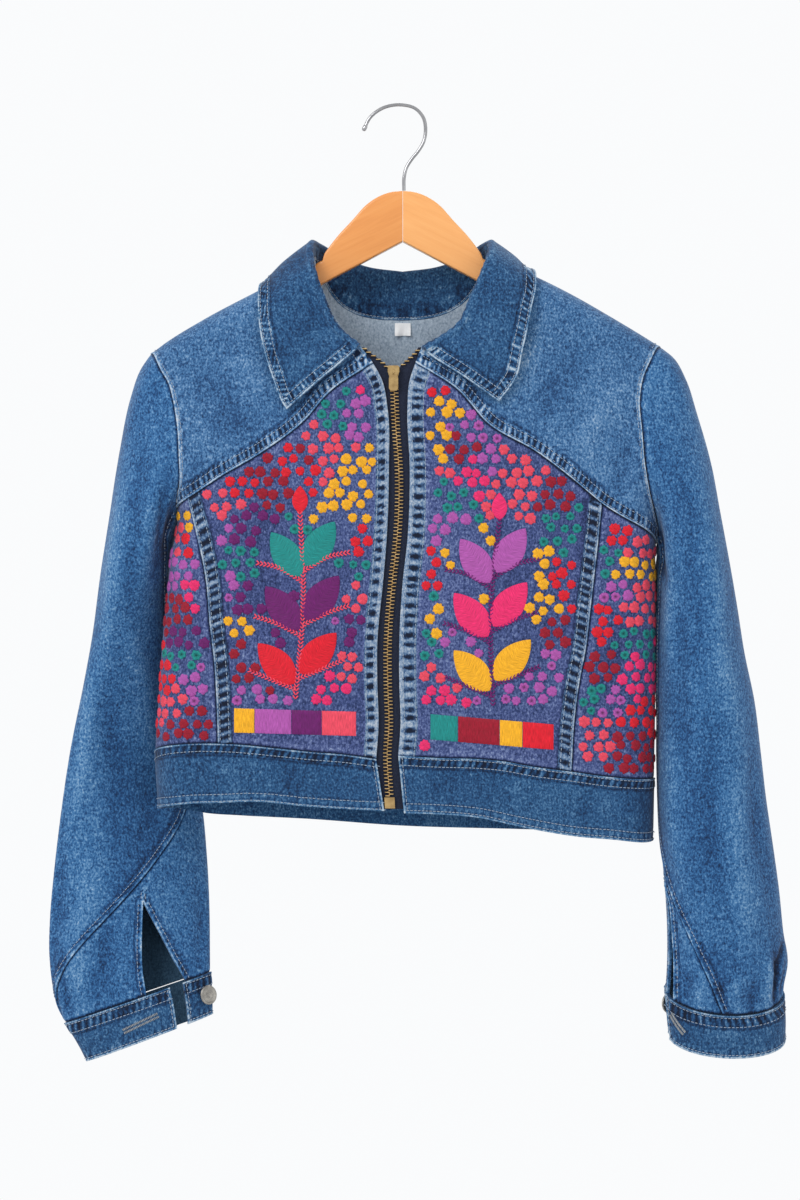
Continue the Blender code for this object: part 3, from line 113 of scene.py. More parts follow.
# Seam lines seen from the front: x, z
ARMHOLES = {
    LEFT: [
        (-221, -217), (-210, -233), (-204, -243), (-200, -256), (-197, -271), (-194, -304), (-194, -334),
        (-197, -352), (-198, -363),
    ],
    RIGHT: [
        (226, -211), (216, -223), (210, -236), (206, -258), (208, -287), (211, -321), (216, -346),
        (221.5, -368), (221.5, -388),
    ],
}
YOKE_SEAMS = {
    LEFT: [
        (-26, -227), (-64, -253), (-85, -277), (-124, -306), (-155, -324), (-186, -344), (-197, -352),
    ],
    RIGHT: [
        (11, -227), (47, -250), (74, -280), (115, -304), (148, -329), (172, -349), (221.5, -383),
    ],
}
PRINCESS_SEAMS = {
    LEFT: [
        (-186, -344), (-177, -380), (-170, -416), (-167, -452), (-163, -487), (-161, -523), (-160, -557),
    ],
    RIGHT: [
        (172, -349), (169, -380), (166, -407), (162, -442), (158, -476), (153, -502), (149, -532),
        (146, -581),
    ],
}
FRONT_EDGES = {
    LEFT: [
        (-37, -212), (-26, -227), (-18, -242), (-13, -268), (-12, -318), (-14, -380), (-17, -416),
        (-22, -469), (-22, -505), (-21, -541), (-23, -570),
    ],
    RIGHT: [
        (16, -214), (11, -227), (6, -242), (4, -268), (6, -318), (4, -380), (0, -416), (-3, -469), (-3, -505),
        (-2, -541), (-4, -567),
    ],
}
FRONT_NECKS = {
    LEFT: [
        (-77, -135), (-75, -151), (-68, -168), (-60, -187), (-50, -201), (-37, -212),
    ],
    RIGHT: [
        (76, -133), (71, -151), (63, -170), (53, -188), (35, -205), (16, -214),
    ],
}
BACK_NECKS = {
    LEFT: [
        (-77, -135), (-71.5, -147), (-65, -160), (-56, -171), (-42, -179.5), (-22, -184), (0, -185),
    ],
    RIGHT: [
        (76, -133), (70.5, -145), (64, -158), (55, -169), (41, -178), (22, -183.5), (0, -185),
    ],
}
HEM_TOPS = {
    LEFT: [
        (-216.5, -565), (-212, -561), (-187, -557), (-151, -557), (-107, -561), (-78, -564), (-52, -566),
        (-23, -570),
    ],
    RIGHT: [
        (-4, -567), (30, -569), (65, -570), (87, -572), (115, -577), (146, -581), (174, -585), (212, -588),
        (220, -588),
    ],
}
HEM_BOTTOMS = {
    LEFT: [
        (-214, -615), (-202, -611), (-187, -609), (-158, -608), (-129, -607), (-85, -611), (-56, -613),
        (-16, -615),
    ],
    RIGHT: [
        (1, -617), (30, -618), (65, -621), (98, -628), (123, -633), (148, -637), (182, -640), (210, -643),
        (219, -642),
    ],
}
BACK_HEM_TOP = [(-216.5, -565), (-173, -575), (-85, -582), (-2, -587), (98, -589), (220, -588)]
BACK_HEM_BOTTOM = [
    (-214, -615), (-195, -617), (-173, -621), (-144, -623), (-85, -626), (-2, -632), (98, -635),
    (190, -638), (219, -642),
]
ZIP_CHAIN_LINE = [
    (-8, -235), (-6, -283), (-3.5, -318), (-5, -380), (-9, -416), (-13, -469), (-13, -505), (-12, -541),
    (-13.5, -568), (-12, -595), (-11, -614),
]

# Sleeve sections, from the armhole to the end of the cuff. The outer and inner points are what shows at the
# sleeve's two sides. Front and back are its half depths, bow moves its front and back towards the torso,
# and dip lowers its front and lifts its back.
SLEEVE_COLUMNS = (
    "outer_x", "outer_z", "inner_x", "inner_z", "outer_y", "inner_y", "front", "back", "bow", "dip",
)
SLEEVE_SECTIONS = {
    LEFT: [
        (-221.0, -217.0, -198.4, -363.0, 0, 0, 40, 38, 15, 0),
        (-231.0, -232.0, -200.0, -367.0, 2, 2, 44, 42, 14, 0),
        (-239.0, -255.0, -202.0, -371.0, 4, 4, 46, 46, 11, 0),
        (-249.0, -303.0, -205.0, -379.0, 8, 7, 48, 50, 7, 0),
        (-257.6, -357.0, -206.0, -391.0, 12, 12, 48, 53, 3, 0),
        (-265.5, -406.0, -207.6, -415.0, 15, 22, 45, 52, 0, 0),
        (-273.4, -463.0, -206.0, -458.0, 18, 40, 36, 46, 0, 0),
        (-281.0, -505.0, -199.0, -505.0, 18, 54, 30, 38, 0, 0),
        (-292.8, -564.0, -190.0, -562.0, 17, 62, 24, 31, 0, 0),
        (-299.8, -611.0, -180.0, -612.0, 15, 62, 22, 27, 0, 0),
        (-306.9, -672.0, -174.5, -658.0, 12, 50, 22, 24, 0, 0),
        (-310.0, -712.0, -172.0, -688.0, 8, 38, 22, 22, 0, 0),
        (-310.0, -748.0, -170.6, -718.0, 4, 28, 21, 21, 0, 0),
        (-306.0, -776.0, -170.0, -740.0, 2, 20, 20, 20, 0, 0),
        (-296.0, -802.0, -169.6, -759.0, 0, 14, 17, 17, 0, 0),
    ],
    RIGHT: [
        (226.4, -211.0, 221.9, -388.0, 0, 0, 40, 38, -16, 0),
        (239.6, -222.0, 224.4, -391.0, 0, 0, 43, 41, -15, 0),
        (249.3, -240.0, 225.4, -395.0, 0, -1, 45, 44, -13, 0),
        (258.5, -270.0, 226.2, -401.0, 0, -2, 47, 46, -10, 0),
        (269.5, -310.0, 225.0, -410.0, 0, -3, 49, 48, -6, 0),
        (277.5, -353.0, 224.4, -421.0, -1, -4, 50, 49, -3, 0),
        (285.4, -396.0, 224.0, -438.0, -2, -5, 50, 48, 0, 0),
        (292.4, -437.0, 223.6, -462.0, -3, -6, 49, 47, 0, 0),
        (298.6, -477.0, 223.3, -491.0, -4, -7, 48, 46, 0, 0),
        (307.4, -520.0, 223.0, -527.0, -5, -8, 47, 44, 0, 0),
        (312.7, -563.0, 222.6, -566.0, -6, -9, 46, 42, 0, 0),
        (317.9, -608.0, 223.4, -609.0, -7, -10, 44, 40, 0, 2),
        (323.7, -648.0, 225.4, -646.0, -8, -11, 43, 38, 0, 4),
        (328.8, -685.0, 228.6, -681.0, -8, -12, 41, 36, 0, 8),
        (332.6, -722.0, 230.6, -716.0, -8, -12, 38, 34, 0, 12),
        (336.4, -748.0, 230.8, -744.0, -8, -12, 34, 32, 0, 16),
        (333.0, -768.0, 230.0, -763.0, -8, -12, 29, 28, 0, 18),
        (332.4, -776.0, 229.4, -771.0, -8, -12, 27, 26, 0, 18),
    ],
}
CUFF_SECTIONS = {
    LEFT: [
        (-295.8, -802.6, -169.5, -759.5, 0, 14, 17, 17, 0, 0),
        (-285.0, -820.0, -168.0, -777.5, 0, 12, 17.5, 17.5, 0, 0),
        (-276.5, -836.0, -167.5, -796.0, 0, 10, 17, 17, 0, 0),
    ],
    RIGHT: [
        (332.6, -776.8, 229.4, -771.8, -8, -12, 27, 26, 0, 18),
        (334.2, -797.0, 230.6, -792.0, -8, -12, 28, 27, 0, 16),
        (333.8, -816.0, 232.6, -812.5, -8, -12, 27, 26, 0, 15),
    ],
}

# Sleeve seam lines: share of the sleeve's length, angles of the front and the back seam in degrees.
# Angles run from the outer side (0) over the front (90) to the inner side (180); the back is negative.
SLEEVE_SEAMS = {
    LEFT: [
        (0.0, 166, -70), (0.3, 164, -80), (0.55, 156, -95), (0.66, 142, -110), (0.74, 118, -125),
        (0.83, 84, -140), (0.9, 48, -152), (0.96, 12, -160), (1.0, -8, -164),
    ],
    RIGHT: [
        (0.0, 168, -70), (0.4, 176, -80), (0.74, 178, -90), (0.81, 158, -100), (0.88, 132, -112),
        (0.94, 112, -124), (1.0, 94, -135),
    ],
}

# Where the sleeve meets the armhole. From one angle to the other, the seam turns into the fold under the arm.
ARMHOLE_SEAM_GAP = 0.6
ARMHOLE_FADE = 0.16
FOLD_STARTS_AT = 105
FOLD_ENDS_AT = 165

# Slit in the under sleeve: where it starts and its two edges at the cuff, as angles
SLITS = {
    LEFT: {"starts": 0.835, "start_angle": 101, "outer_angle": 98, "inner_angle": 132},
    RIGHT: {"starts": 0.81, "start_angle": 162, "outer_angle": 152, "inner_angle": 166},
}

SLIT_CLEAR_OF_SEAM = 12

# Cuff ends, as angles over the front: the button end lies towards the inner side
CUFF_ENDS = {
    LEFT: {"overlap": 117, "underlap": 129},
    RIGHT: {"overlap": 170, "underlap": 186},
}
BUTTON_ANGLES = {
    LEFT: 158,
    RIGHT: 204,
}

# Collar sections from the centre back to one end: share of the half neckline, then x, y and z of the roll
# and of the edge
COLLAR_SECTIONS = {
    LEFT: [
        (0.0, 0, 37, -142, 0, 44, -200), (0.16, -30, 36, -138, -38, 43, -199),
        (0.32, -54, 32, -129, -80, 40, -188), (0.44, -70, 19, -120, -110, 25, -168),
        (0.52, -77, 3, -118, -123, 3, -155.5), (0.6, -79, -18, -131, -126, -22, -170),
        (0.68, -73, -31, -155, -124.5, -34, -193), (0.77, -66, -35.5, -175, -120, -40, -217),
        (0.86, -59, -38.5, -192, -112, -44, -242), (0.94, -47, -41, -204, -106, -46, -258),
        (1.0, -37, -43, -211, -100.5, -47, -268),
    ],
    RIGHT: [
        (0.0, 0, 37, -142, 0, 44, -200), (0.16, 30, 36, -138, 36, 43, -199),
        (0.32, 54, 32, -129, 74, 40, -186), (0.44, 68, 19, -120, 100, 25, -162),
        (0.52, 75, 3, -118, 114, 3, -148), (0.6, 74, -18, -129, 116, -22, -160),
        (0.68, 66, -30, -150, 112, -34, -177), (0.77, 58, -35, -169, 108.5, -40, -195),
        (0.86, 49, -38.5, -191, 103.5, -44, -217), (0.94, 34, -41, -203, 97, -46, -242),
        (1.0, 18, -43, -213, 83, -47, -261),
    ],
}
SHOULDER_ALONG = 0.52
COLLAR_FOLD_WIDTH = 7.0
COLLAR_LIFT = 3.6
COLLAR_EDGE_LIFT = 1.4
COLLAR_BULGE = 2.0
NECK_SEAM_GAP = 0.3
NECK_STEP = 1.0
STAND_AT_LEAST = 8.5
NECK_MIDDLE = np.array([0.0, 0.0, -150.0])

# Hanger arm between the hook and the shoulder: distance from the middle, top, underside
HANGER_NECK = [
    (0, -74.2, -118.6), (10, -75.2, -123.9), (18, -77.7, -128.1), (33, -87.4, -136), (44, -99.7, -141.7),
    (57, -113.8, -148.5), (65, -124, -152.8), (70, -131, -155.6), (76, -138.4, -159), (84, -143, -163.5),
]

# Hook wire: x, z of its middle line
HOOK_LINE = [
    (-34, -20), (-29, -10), (-17.5, -1.2), (0, 1.55), (11, -1.5), (18, -9.5), (20, -20), (18.5, -30),
    (13.5, -39), (7.5, -46.5), (3, -54), (1.2, -62), (1, -73.6),
]

# How often a search for a place on the cloth is refined, and steps along an edge
SURFACE_PASSES = 6
HALVINGS = 40
SHARE_TRIES = 400
EDGE_STEPS = 8


def hermite(values, slopes, knots, at):
    """Values at places along a smooth curve that passes through all its points."""
    at = np.asarray(at, float)
    index = np.clip(np.searchsorted(knots, at) - 1, 0, len(knots) - 2)
    step = np.asarray(knots[index + 1] - knots[index])[..., None]
    q = np.asarray(at - knots[index])[..., None] / step
    inside = np.clip(q, 0, 1)
    start_slope, end_slope = slopes[index] * step, slopes[index + 1] * step
    curve = (
        values[index] * (2 * inside ** 3 - 3 * inside ** 2 + 1)
        + values[index + 1] * (3 * inside ** 2 - 2 * inside ** 3)
        + start_slope * (inside ** 3 - 2 * inside ** 2 + inside)
        + end_slope * (inside ** 3 - inside ** 2)
    )
    return curve + start_slope * np.minimum(q, 0) + end_slope * np.maximum(q - 1, 0)


def smooth_curve(points):
    """Curve through points, as a function of its share of length from 0 to 1."""
    values = np.array(points, float)
    knots = np.concatenate([[0.0], np.cumsum(np.linalg.norm(np.diff(values, axis=0), axis=1))])
    slopes = np.gradient(values, knots, axis=0)
    return lambda share: hermite(values, slopes, knots, np.asarray(share) * knots[-1])


def profile(rows):
    """Values that follow a key, the first number of each row."""
    table = np.array(rows, float)
    table = table[np.argsort(table[:, 0])]
    knots, values = table[:, 0], table[:, 1:]
    slopes = np.gradient(values, knots, axis=0)
    return lambda key: hermite(values, slopes, knots, key)


def ease(share):
    share = np.clip(share, 0.0, 1.0)
    return share * share * (3 - 2 * share)


def even(count):
    return np.linspace(0.0, 1.0, count + 1)


def unit(vectors):
    return vectors / np.linalg.norm(vectors, axis=-1, keepdims=True)


shoulder_profile = profile(SHOULDER_LINE)
edge_profiles = {side: profile(rows) for side, rows in TORSO_EDGES.items()}


def shoulder_z(x):
    return shoulder_profile(x)[..., 0]


def edge_x(z, side):
    return np.where(np.asarray(side) < 0, edge_profiles[LEFT](z)[..., 0], edge_profiles[RIGHT](z)[..., 0])


def fall(arc, radius):
    """Travel along the cloth from an edge, as distance from the edge and share of the full depth."""
    turn = np.minimum(arc / radius, math.pi / 2)
    distance = np.where(arc < radius * math.pi / 2, radius * (1 - np.cos(turn)), arc - ARC_EXTRA * radius)
    return distance, np.sin(turn)


def climb(distance, radius):
    """Travel along the cloth for a distance from an edge."""
    turn = np.arccos(1 - np.clip(distance, 0.0, radius) / radius)
    return np.where(distance < radius, radius * turn, distance + ARC_EXTRA * radius)


def half_depth(x, z, back):
    below = shoulder_z(x) - z
    start = BACK_DEPTH_AT_SHOULDER if back else FRONT_DEPTH_AT_SHOULDER
    depth = start + DEPTH_GAINED_AT_CHEST * ease(below / CHEST_BELOW_SHOULDER)
    return depth * (1 - HEM_SLIMMING * ease((SLIMMING_STARTS_AT - z) / SLIMMING_LENGTH))


def flatten(x, z):
    """Cloth coordinates of places seen from the front."""
    x, z = np.asarray(x, float), np.asarray(z, float)
    side = np.where(x < 0, -1, 1)
    inside = np.abs(edge_x(z, side) - x)
    across = edge_x(z, side) + side * (ARC_EXTRA * SIDE_ROUND - climb(inside, SIDE_ROUND))
    height = shoulder_z(x) + ARC_EXTRA * SHOULDER_ROUND - climb(shoulder_z(x) - z, SHOULDER_ROUND)
    return np.stack([across, height], axis=-1)


def torso_point(flat, back=False):
    """Places on the torso's outer surface for cloth coordinates."""
    across, height = flat[..., 0], flat[..., 1]
    x, z = across, height
    side = np.where(across < 0, -1, 1)
    for _ in range(SURFACE_PASSES):
        down, share_down = fall(shoulder_z(x) + ARC_EXTRA * SHOULDER_ROUND - height, SHOULDER_ROUND)
        z = shoulder_z(x) - down
        inside, share_in = fall(side * (edge_x(z, side) - across) + ARC_EXTRA * SIDE_ROUND, SIDE_ROUND)
        x = edge_x(z, side) - side * inside
    y = half_depth(x, z, back) * share_down * share_in
    return np.stack([x, y if back else -y, z], axis=-1)


def torso_normal(flat, back=False, step=0.5):
    right, up = np.array([step, 0.0]), np.array([0.0, step])
    along_x = torso_point(flat + right, back) - torso_point(flat - right, back)
    along_z = torso_point(flat + up, back) - torso_point(flat - up, back)
    return unit(np.cross(along_x, along_z) * (-1 if back else 1))


def cloth_line(points):
    """A seam line in cloth coordinates, from places seen from the front."""
    table = np.array(points, float)
    return smooth_curve(flatten(table[:, 0], table[:, 1]))


def joined_line(first, second, break_at):
    """Two lines run together, which meet at a given share."""
    def line(share):
        share = np.asarray(share, float)
        before = first(np.minimum(share / break_at, 1.0))
        after = second(np.maximum((share - break_at) / (1 - break_at), 0.0))
        return np.where((share <= break_at)[..., None], before, after)
    return line


def reverse(line):
    return lambda share: line(1 - np.asarray(share))


def part_of(line, start, end):
    return lambda share: line(start + (end - start) * np.asarray(share))


def straight(start, end):
    return lambda share: start + (end - start) * np.asarray(share)[..., None]


def coons(top, bottom, left, right, side_hold=1):
    """Patch between four lines. The top and bottom run from left to right, the sides run down."""
    corner_tl, corner_tr = (left(0) + top(0)) / 2, (right(0) + top(1)) / 2
    corner_bl, corner_br = (left(1) + bottom(0)) / 2, (right(1) + bottom(1)) / 2

    def patch(u, v):
        down = v[..., None]
        left_bend = left(v) - (1 - down) * corner_tl - down * corner_bl
        right_bend = right(v) - (1 - down) * corner_tr - down * corner_br
        across = (1 - down) * top(u) + down * bottom(u)
        left_hold, right_hold = (1 - u) ** side_hold, u ** side_hold
        return across + left_hold[..., None] * left_bend + right_hold[..., None] * right_bend
    return patch


def side_line(side, z_start, z_end):
    """The side edge of the torso in cloth coordinates."""
    z = z_start + (z_end - z_start) * even(EDGE_STEPS)
    return smooth_curve(flatten(edge_x(z, side), z))


def shoulder_line(x_start, x_end):
    x = x_start + (x_end - x_start) * even(EDGE_STEPS)
    return smooth_curve(flatten(x, shoulder_z(x)))


def share_at_height(line, z):
    """Share of a line at which it passes a height."""
    low, high = 0.0, 1.0
    for _ in range(HALVINGS):
        middle = (low + high) / 2
        if (line(middle)[1] > z) == (line(0.0)[1] > line(1.0)[1]):
            low = middle
        else:
            high = middle
    return low


def nearest_share(line, place):
    """Share at which a line passes nearest to a place."""
    shares = even(SHARE_TRIES)
    return float(shares[np.argmin(np.linalg.norm(line(shares) - place, axis=1))])


def near(points, line):
    """Distance from points to a line of places, and how far along the line the nearest place is."""
    flat = points.reshape(-1, points.shape[-1])
    best, along, before = np.full(len(flat), np.inf), np.zeros(len(flat)), 0.0
    for start, end in zip(line, line[1:]):
        step = end - start
        size = np.linalg.norm(step)
        if size > 0:
            share = np.clip((flat - start) @ step / size ** 2, 0, 1)
            distance = np.linalg.norm(flat - start - share[:, None] * step, axis=1)
            closer = distance < best
            best[closer] = distance[closer]
            along[closer] = before + share[closer] * size
        before += size
    return best.reshape(points.shape[:-1]), along.reshape(points.shape[:-1])


def length_of(line):
    return float(np.linalg.norm(np.diff(line, axis=0), axis=1).sum())

# Stops across a seam band, in millimetres from its edge, and how much of a short line they may take up
BAND_STOPS = (0.5, 1.1, 1.8, 2.6, 3.6, 4.7, 5.8, 6.9, 8.0, 9.1, 10.2, 11.3, 12.4, 13.6, 15.2)
HEM_STOPS, SLIT_STOPS, END_STOPS = BAND_STOPS[:13], BAND_STOPS[:9], BAND_STOPS[:8]
EDGE_STOPS = (0.7, 1.5, 2.6, 4.2)
STOPS_AT_MOST = 0.45
PATCH_TRIES = 16
TINY = 1e-9

# Creases: their strength and how far their middle bows out. Edges sharper than the angle stay sharp.
CREASE_STRENGTH = 1.5
CREASE_BOW = 0.06
SHARP_ANGLE = math.radians(50)
# Pieces that the torso's cloth rests on
ARMS = ("arm_left", "arm_right")

# Stitches: pitch, half reach and lift, how far the nearest place of the grid may lie off, and their bars
STITCH_PITCH = 3.3
STITCH_REACH = 0.8
STITCH_LIFT = 0.55
STITCH_OFF_ROW = 2.5
STITCH_OFF_PLACE = 3.0
STITCH_LENGTH = 2.5
STITCH_RADIUS = 0.32
STITCH_SIDES = 5
stitch_places = {"body": [], "sleeves": [], "collar": []}


def ripple(along, pitch, seed):
    """Uneven wave from -1 to 1 that runs along a seam."""
    random = np.random.default_rng(seed)
    count = int(np.max(along) / pitch * 2.2) + 8
    stops = np.cumsum(pitch / 2 * random.uniform(0.6, 1.4, count)) - 2 * pitch
    levels = random.uniform(0.45, 1.0, count) * np.where(np.arange(count) % 2, 1, -1)
    return np.sin(np.interp(along, stops, levels) * math.pi / 2)


def bell(distance, width):
    return np.exp(-(distance / width) ** 2)


def felled_seam(distance, along, width, rows, pitch, seed, lift=0.7, edge=0.95, pucker=0.8, swell=0.4,
                band_tone=-0.3):
    """Doubled cloth along a seam, with a pale rolled edge, rows of stitching and puckers between them. The
    puckers' colour is partly real fade and partly painted light on their raised parts and painted shade in
    their hollows. The stitch dents carry painted shade, and the dark line just past the band's edge is a
    painted shadow.
    """
    wave = ripple(along + 0.3 * distance, pitch, seed)
    slow = ripple(along, 31.0, seed + 1)
    between = ease(distance / 2.0 - 0.4) * (1 - ease((distance - width + 1.6) / 1.8))
    dents = sum(bell(distance - row, 0.75) for row in rows)
    rolled = bell(distance - 0.8, 0.85)
    plateau = 1 - ease((distance - width + 0.9) / 1.8)
    height = lift * plateau + 0.55 * rolled - 0.35 * dents + swell * wave * between
    # Puckers are paler where raised and darker where sunk: partly real fade, partly painted light and shade.
    # Stitch dents are darkened with painted shade.
    wear_and_shading = (edge + 0.15 * slow) * rolled + 1.25 * pucker * wave * between - 0.35 * dents
    wear_and_shading = wear_and_shading + (0.20 * slow + band_tone) * plateau
    # A pale worn ridge at the band's far edge, and just past it a painted shadow under that edge.
    wear_and_shading = wear_and_shading + 0.4 * bell(distance - width + 0.9, 0.8) - 0.5 * bell(distance - width - 0.9, 0.9)
    return height, wear_and_shading


def stitched_edge(distance, along, width, rows, pitch, seed, edge=0.8, pucker=0.25, **_):
    """Single cloth turned under at a seam, with stitching and faint puckers beside it. The puckers are paler
    where raised and darker where sunk, partly real fade and partly painted light and shade. The stitch dents
    carry painted shade.
    """
    wave = ripple(along, pitch, seed)
    rolled = bell(distance - 0.7, 0.9)
    window = bell(distance - width / 2, width / 2.2)
    dents = sum(bell(distance - row, 0.8) for row in rows)
    height = 0.5 * rolled + 0.2 * wave * window - 0.25 * dents
    # Pucker tone is partly real fade and partly painted light and shade; dents are darkened as painted shade.
    wear_and_shading = edge * rolled + pucker * wave * window - 0.25 * dents + 0.12 * window
    return height, wear_and_shading


def placket_edge(distance, along, width, rows, pitch, seed, **_):
    """Front edge beside the zip: a plain rolled strip, then a band drawn into short hollows that are darkened
    with painted shade.
    """
    wave = ripple(along, pitch, seed)
    strip = 1 - ease((distance - 2.6) / 1.6)
    hollows = bell(distance - 0.55 * width, 0.27 * width)
    band = 1 - ease((distance - width) / 1.8)
    dents = sum(bell(distance - row, 0.7) for row in rows)
    height = 0.5 * band - 0.5 * bell(distance, 0.8) + 0.5 * wave * hollows - 0.25 * dents
    # The hollows are darkened as painted shade, and the dents go paler or darker along the wave as painted
    # light and shade.
    wear_and_shading = 0.4 * strip + 0.20 * band + 2.1 * np.minimum(wave, 0.22) * hollows + 0.35 * dents * wave
    return height, wear_and_shading


def tucked_edge(distance, along, seed=0, **_):
    """Edge that goes in under the next piece's seam, darkened there with a painted shadow, and a little paler
    further out.
    """
    wave = ripple(along, 9.0, seed)
    close = bell(distance, 1.3)
    # Painted shadow where the edge goes under the seam.
    return -0.5 * close, -1.0 * close + (0.16 + 0.14 * wave) * bell(distance - 3.6, 2.4)


def crease_heights(flat, creases):
    """Soft troughs and ridges from rows of a start, an end, a half width, a height and their painted light
    and shade: paler on ridges, darker in troughs.
    """
    height, wear_and_shading = np.zeros(flat.shape[:-1]), np.zeros(flat.shape[:-1])
    for x_start, y_start, x_end, y_end, half_width, lift, tone in creases:
        start, end = np.array([x_start, y_start], float), np.array([x_end, y_end], float)
        bow = np.array([end[1] - start[1], start[0] - end[0]]) * CREASE_BOW
        line = [start, (start + end) / 2 + bow, end]
        distance, along = near(flat, line)
        share = along / length_of(line)
        taper = np.sin(math.pi * np.clip(share * 0.86 + 0.07, 0, 1))
        shape = bell(distance, half_width) * taper
        height += CREASE_STRENGTH * lift * shape
        # Painted light on the ridges and painted shade in the troughs.
        wear_and_shading += CREASE_STRENGTH * tone * shape
    return height, wear_and_shading


def shell_mesh(outer, inner):
    """Corners and faces of a closed wall between two grids of points, with the inner faces marked."""
    rows, columns = outer.shape[:2]
    count = rows * columns
    index = np.arange(count).reshape(rows, columns)
    face = np.stack([index[:-1, :-1], index[:-1, 1:], index[1:, 1:], index[1:, :-1]], -1).reshape(-1, 4)
    loop = np.concatenate([index[0, :-1], index[:-1, -1], index[-1, :0:-1], index[:0:-1, 0]])
    after = np.roll(loop, -1)
    rim = np.stack([after, loop, loop + count, after + count], -1)
    faces = np.concatenate([face, face[:, ::-1] + count, rim])
    row, column = rows // 2, columns // 2
    corner = outer[row - 1, column - 1]
    facing = np.cross(outer[row - 1, column] - corner, outer[row, column - 1] - corner)
    if np.dot(facing, corner - inner[row - 1, column - 1]) < 0:
        faces = faces[:, ::-1]
    inside = np.concatenate([np.zeros(len(face), int), np.ones(len(face), int), np.zeros(len(rim), int)])
    return np.concatenate([outer.reshape(-1, 3), inner.reshape(-1, 3)]), faces, inside


def build_mesh(name, parts, materials, values=None, colours=None, threads=None, caps=()):
    """One object from several lists of corners, faces and material numbers, in millimetres."""
    corners = np.concatenate([part[0] for part in parts])
    starts = np.cumsum([0] + [len(part[0]) for part in parts[:-1]])
    faces = []
    for part, start in zip(parts, starts):
        faces += [tuple(face) for face in (np.asarray(part[1]) + start).tolist()]
    numbers = np.concatenate([part[2] for part in parts] + [np.zeros(len(caps), int)])
    mesh = bpy.data.meshes.new(name)
    mesh.from_pydata((corners * MM).tolist(), [], faces + [tuple(cap) for cap in caps])
    mesh.polygons.foreach_set("material_index", numbers.astype(np.int32))
    for material in materials:
        mesh.materials.append(material)
    if values is not None:
        layer = mesh.attributes.new("wear_and_shading", "FLOAT", "POINT")
        layer.data.foreach_set("value", np.asarray(values, np.float32))
    if colours is not None:
        layer = mesh.attributes.new("thread", "FLOAT_COLOR", "POINT")
        layer.data.foreach_set("color", np.asarray(colours, np.float32).ravel())
    if threads is not None:
        layer = mesh.uv_layers.new(name="threads")
        loops = np.zeros(len(mesh.loops), np.int32)
        mesh.loops.foreach_get("vertex_index", loops)
        layer.data.foreach_set("uv", np.asarray(threads, np.float32)[loops].ravel())
    mesh.shade_smooth()
    mesh.set_sharp_from_angle(angle=SHARP_ANGLE)
    mesh.validate()
    thing = bpy.data.objects.new(name, mesh)
    bpy.context.collection.objects.link(thing)
    return thing


def place_piece(thing, body="jacket", nodes=()):
    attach(thing, body)
    if nodes:
        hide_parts(*nodes)
    return thing


def declare_cloth(thing, cut, held="hung", rests_on=()):
    """Takes a piece and its cut, and does nothing with them."""
    list(rests_on)


def sew(group, points, normals, distance, along, line, row, lifts):
    """Notes the places of a row of stitches that runs beside a line, on a surface's grid of points."""
    flat, outward = points.reshape(-1, 3), normals.reshape(-1, 3)
    away, travel = distance.ravel(), along.ravel()
    steps = np.linalg.norm(np.diff(line, axis=0), axis=1)
    stops = np.concatenate([[0.0], np.cumsum(steps)])
    for stitch in np.arange(STITCH_PITCH, stops[-1] - STITCH_PITCH / 2, STITCH_PITCH):
        found = np.argmin((away - row) ** 2 + (travel - stitch) ** 2)
        if abs(away[found] - row) > STITCH_OFF_ROW or abs(travel[found] - stitch) > STITCH_OFF_PLACE:
            continue
        at = [np.array([np.interp(place, stops, line[:, axis]) for axis in range(3)])
              for place in (stitch - STITCH_REACH, stitch, stitch + STITCH_REACH)]
        off = flat[found] - np.array([np.interp(travel[found], stops, line[:, axis]) for axis in range(3)])
        if np.linalg.norm(off) < 1e-6:
            continue
        place = at[1] + off / np.linalg.norm(off) * row + outward[found] * lifts.ravel()[found]
        stitch_places[group].append((place, unit(at[2] - at[0]), outward[found]))


def ring_faces(rings, sides):
    """Faces between rings of corners that lie one after another."""
    ring, following = np.arange(sides), (np.arange(sides) + 1) % sides
    lows = np.arange(rings - 1)[:, None] * sides
    faces = np.stack([lows + ring, lows + following, lows + sides + following, lows + sides + ring], -1)
    return faces.reshape(-1, 4)


def plain_part(corners, faces):
    """Corners and faces whose faces all have the first material."""
    return corners, faces, np.zeros(len(faces), int)


def bars(places, length, radius, sink=0.35, sides=6):
    """Short rounded bars of thread whose ends dip into the cloth."""
    shares = np.array([-0.5, -0.3, 0.3, 0.5])
    drops = np.array([-1.0, 0.0, 0.0, -1.0]) * sink
    turns = np.arange(sides) * 2 * math.pi / sides
    corners, faces = [], []
    for number, (place, along, outward) in enumerate(places):
        across = np.cross(outward, along)
        middles = place + shares[:, None] * length * along + drops[:, None] * outward
        spokes = np.cos(turns)[:, None] * across + np.sin(turns)[:, None] * outward
        scale = np.array([0.6, 1.0, 1.0, 0.6])[:, None, None] * radius
        corners.append((middles[:, None, :] + spokes[None, :, :] * scale).reshape(-1, 3))
        faces.append(ring_faces(len(shares), sides) + number * len(shares) * sides)
    return plain_part(np.concatenate(corners), np.concatenate(faces))


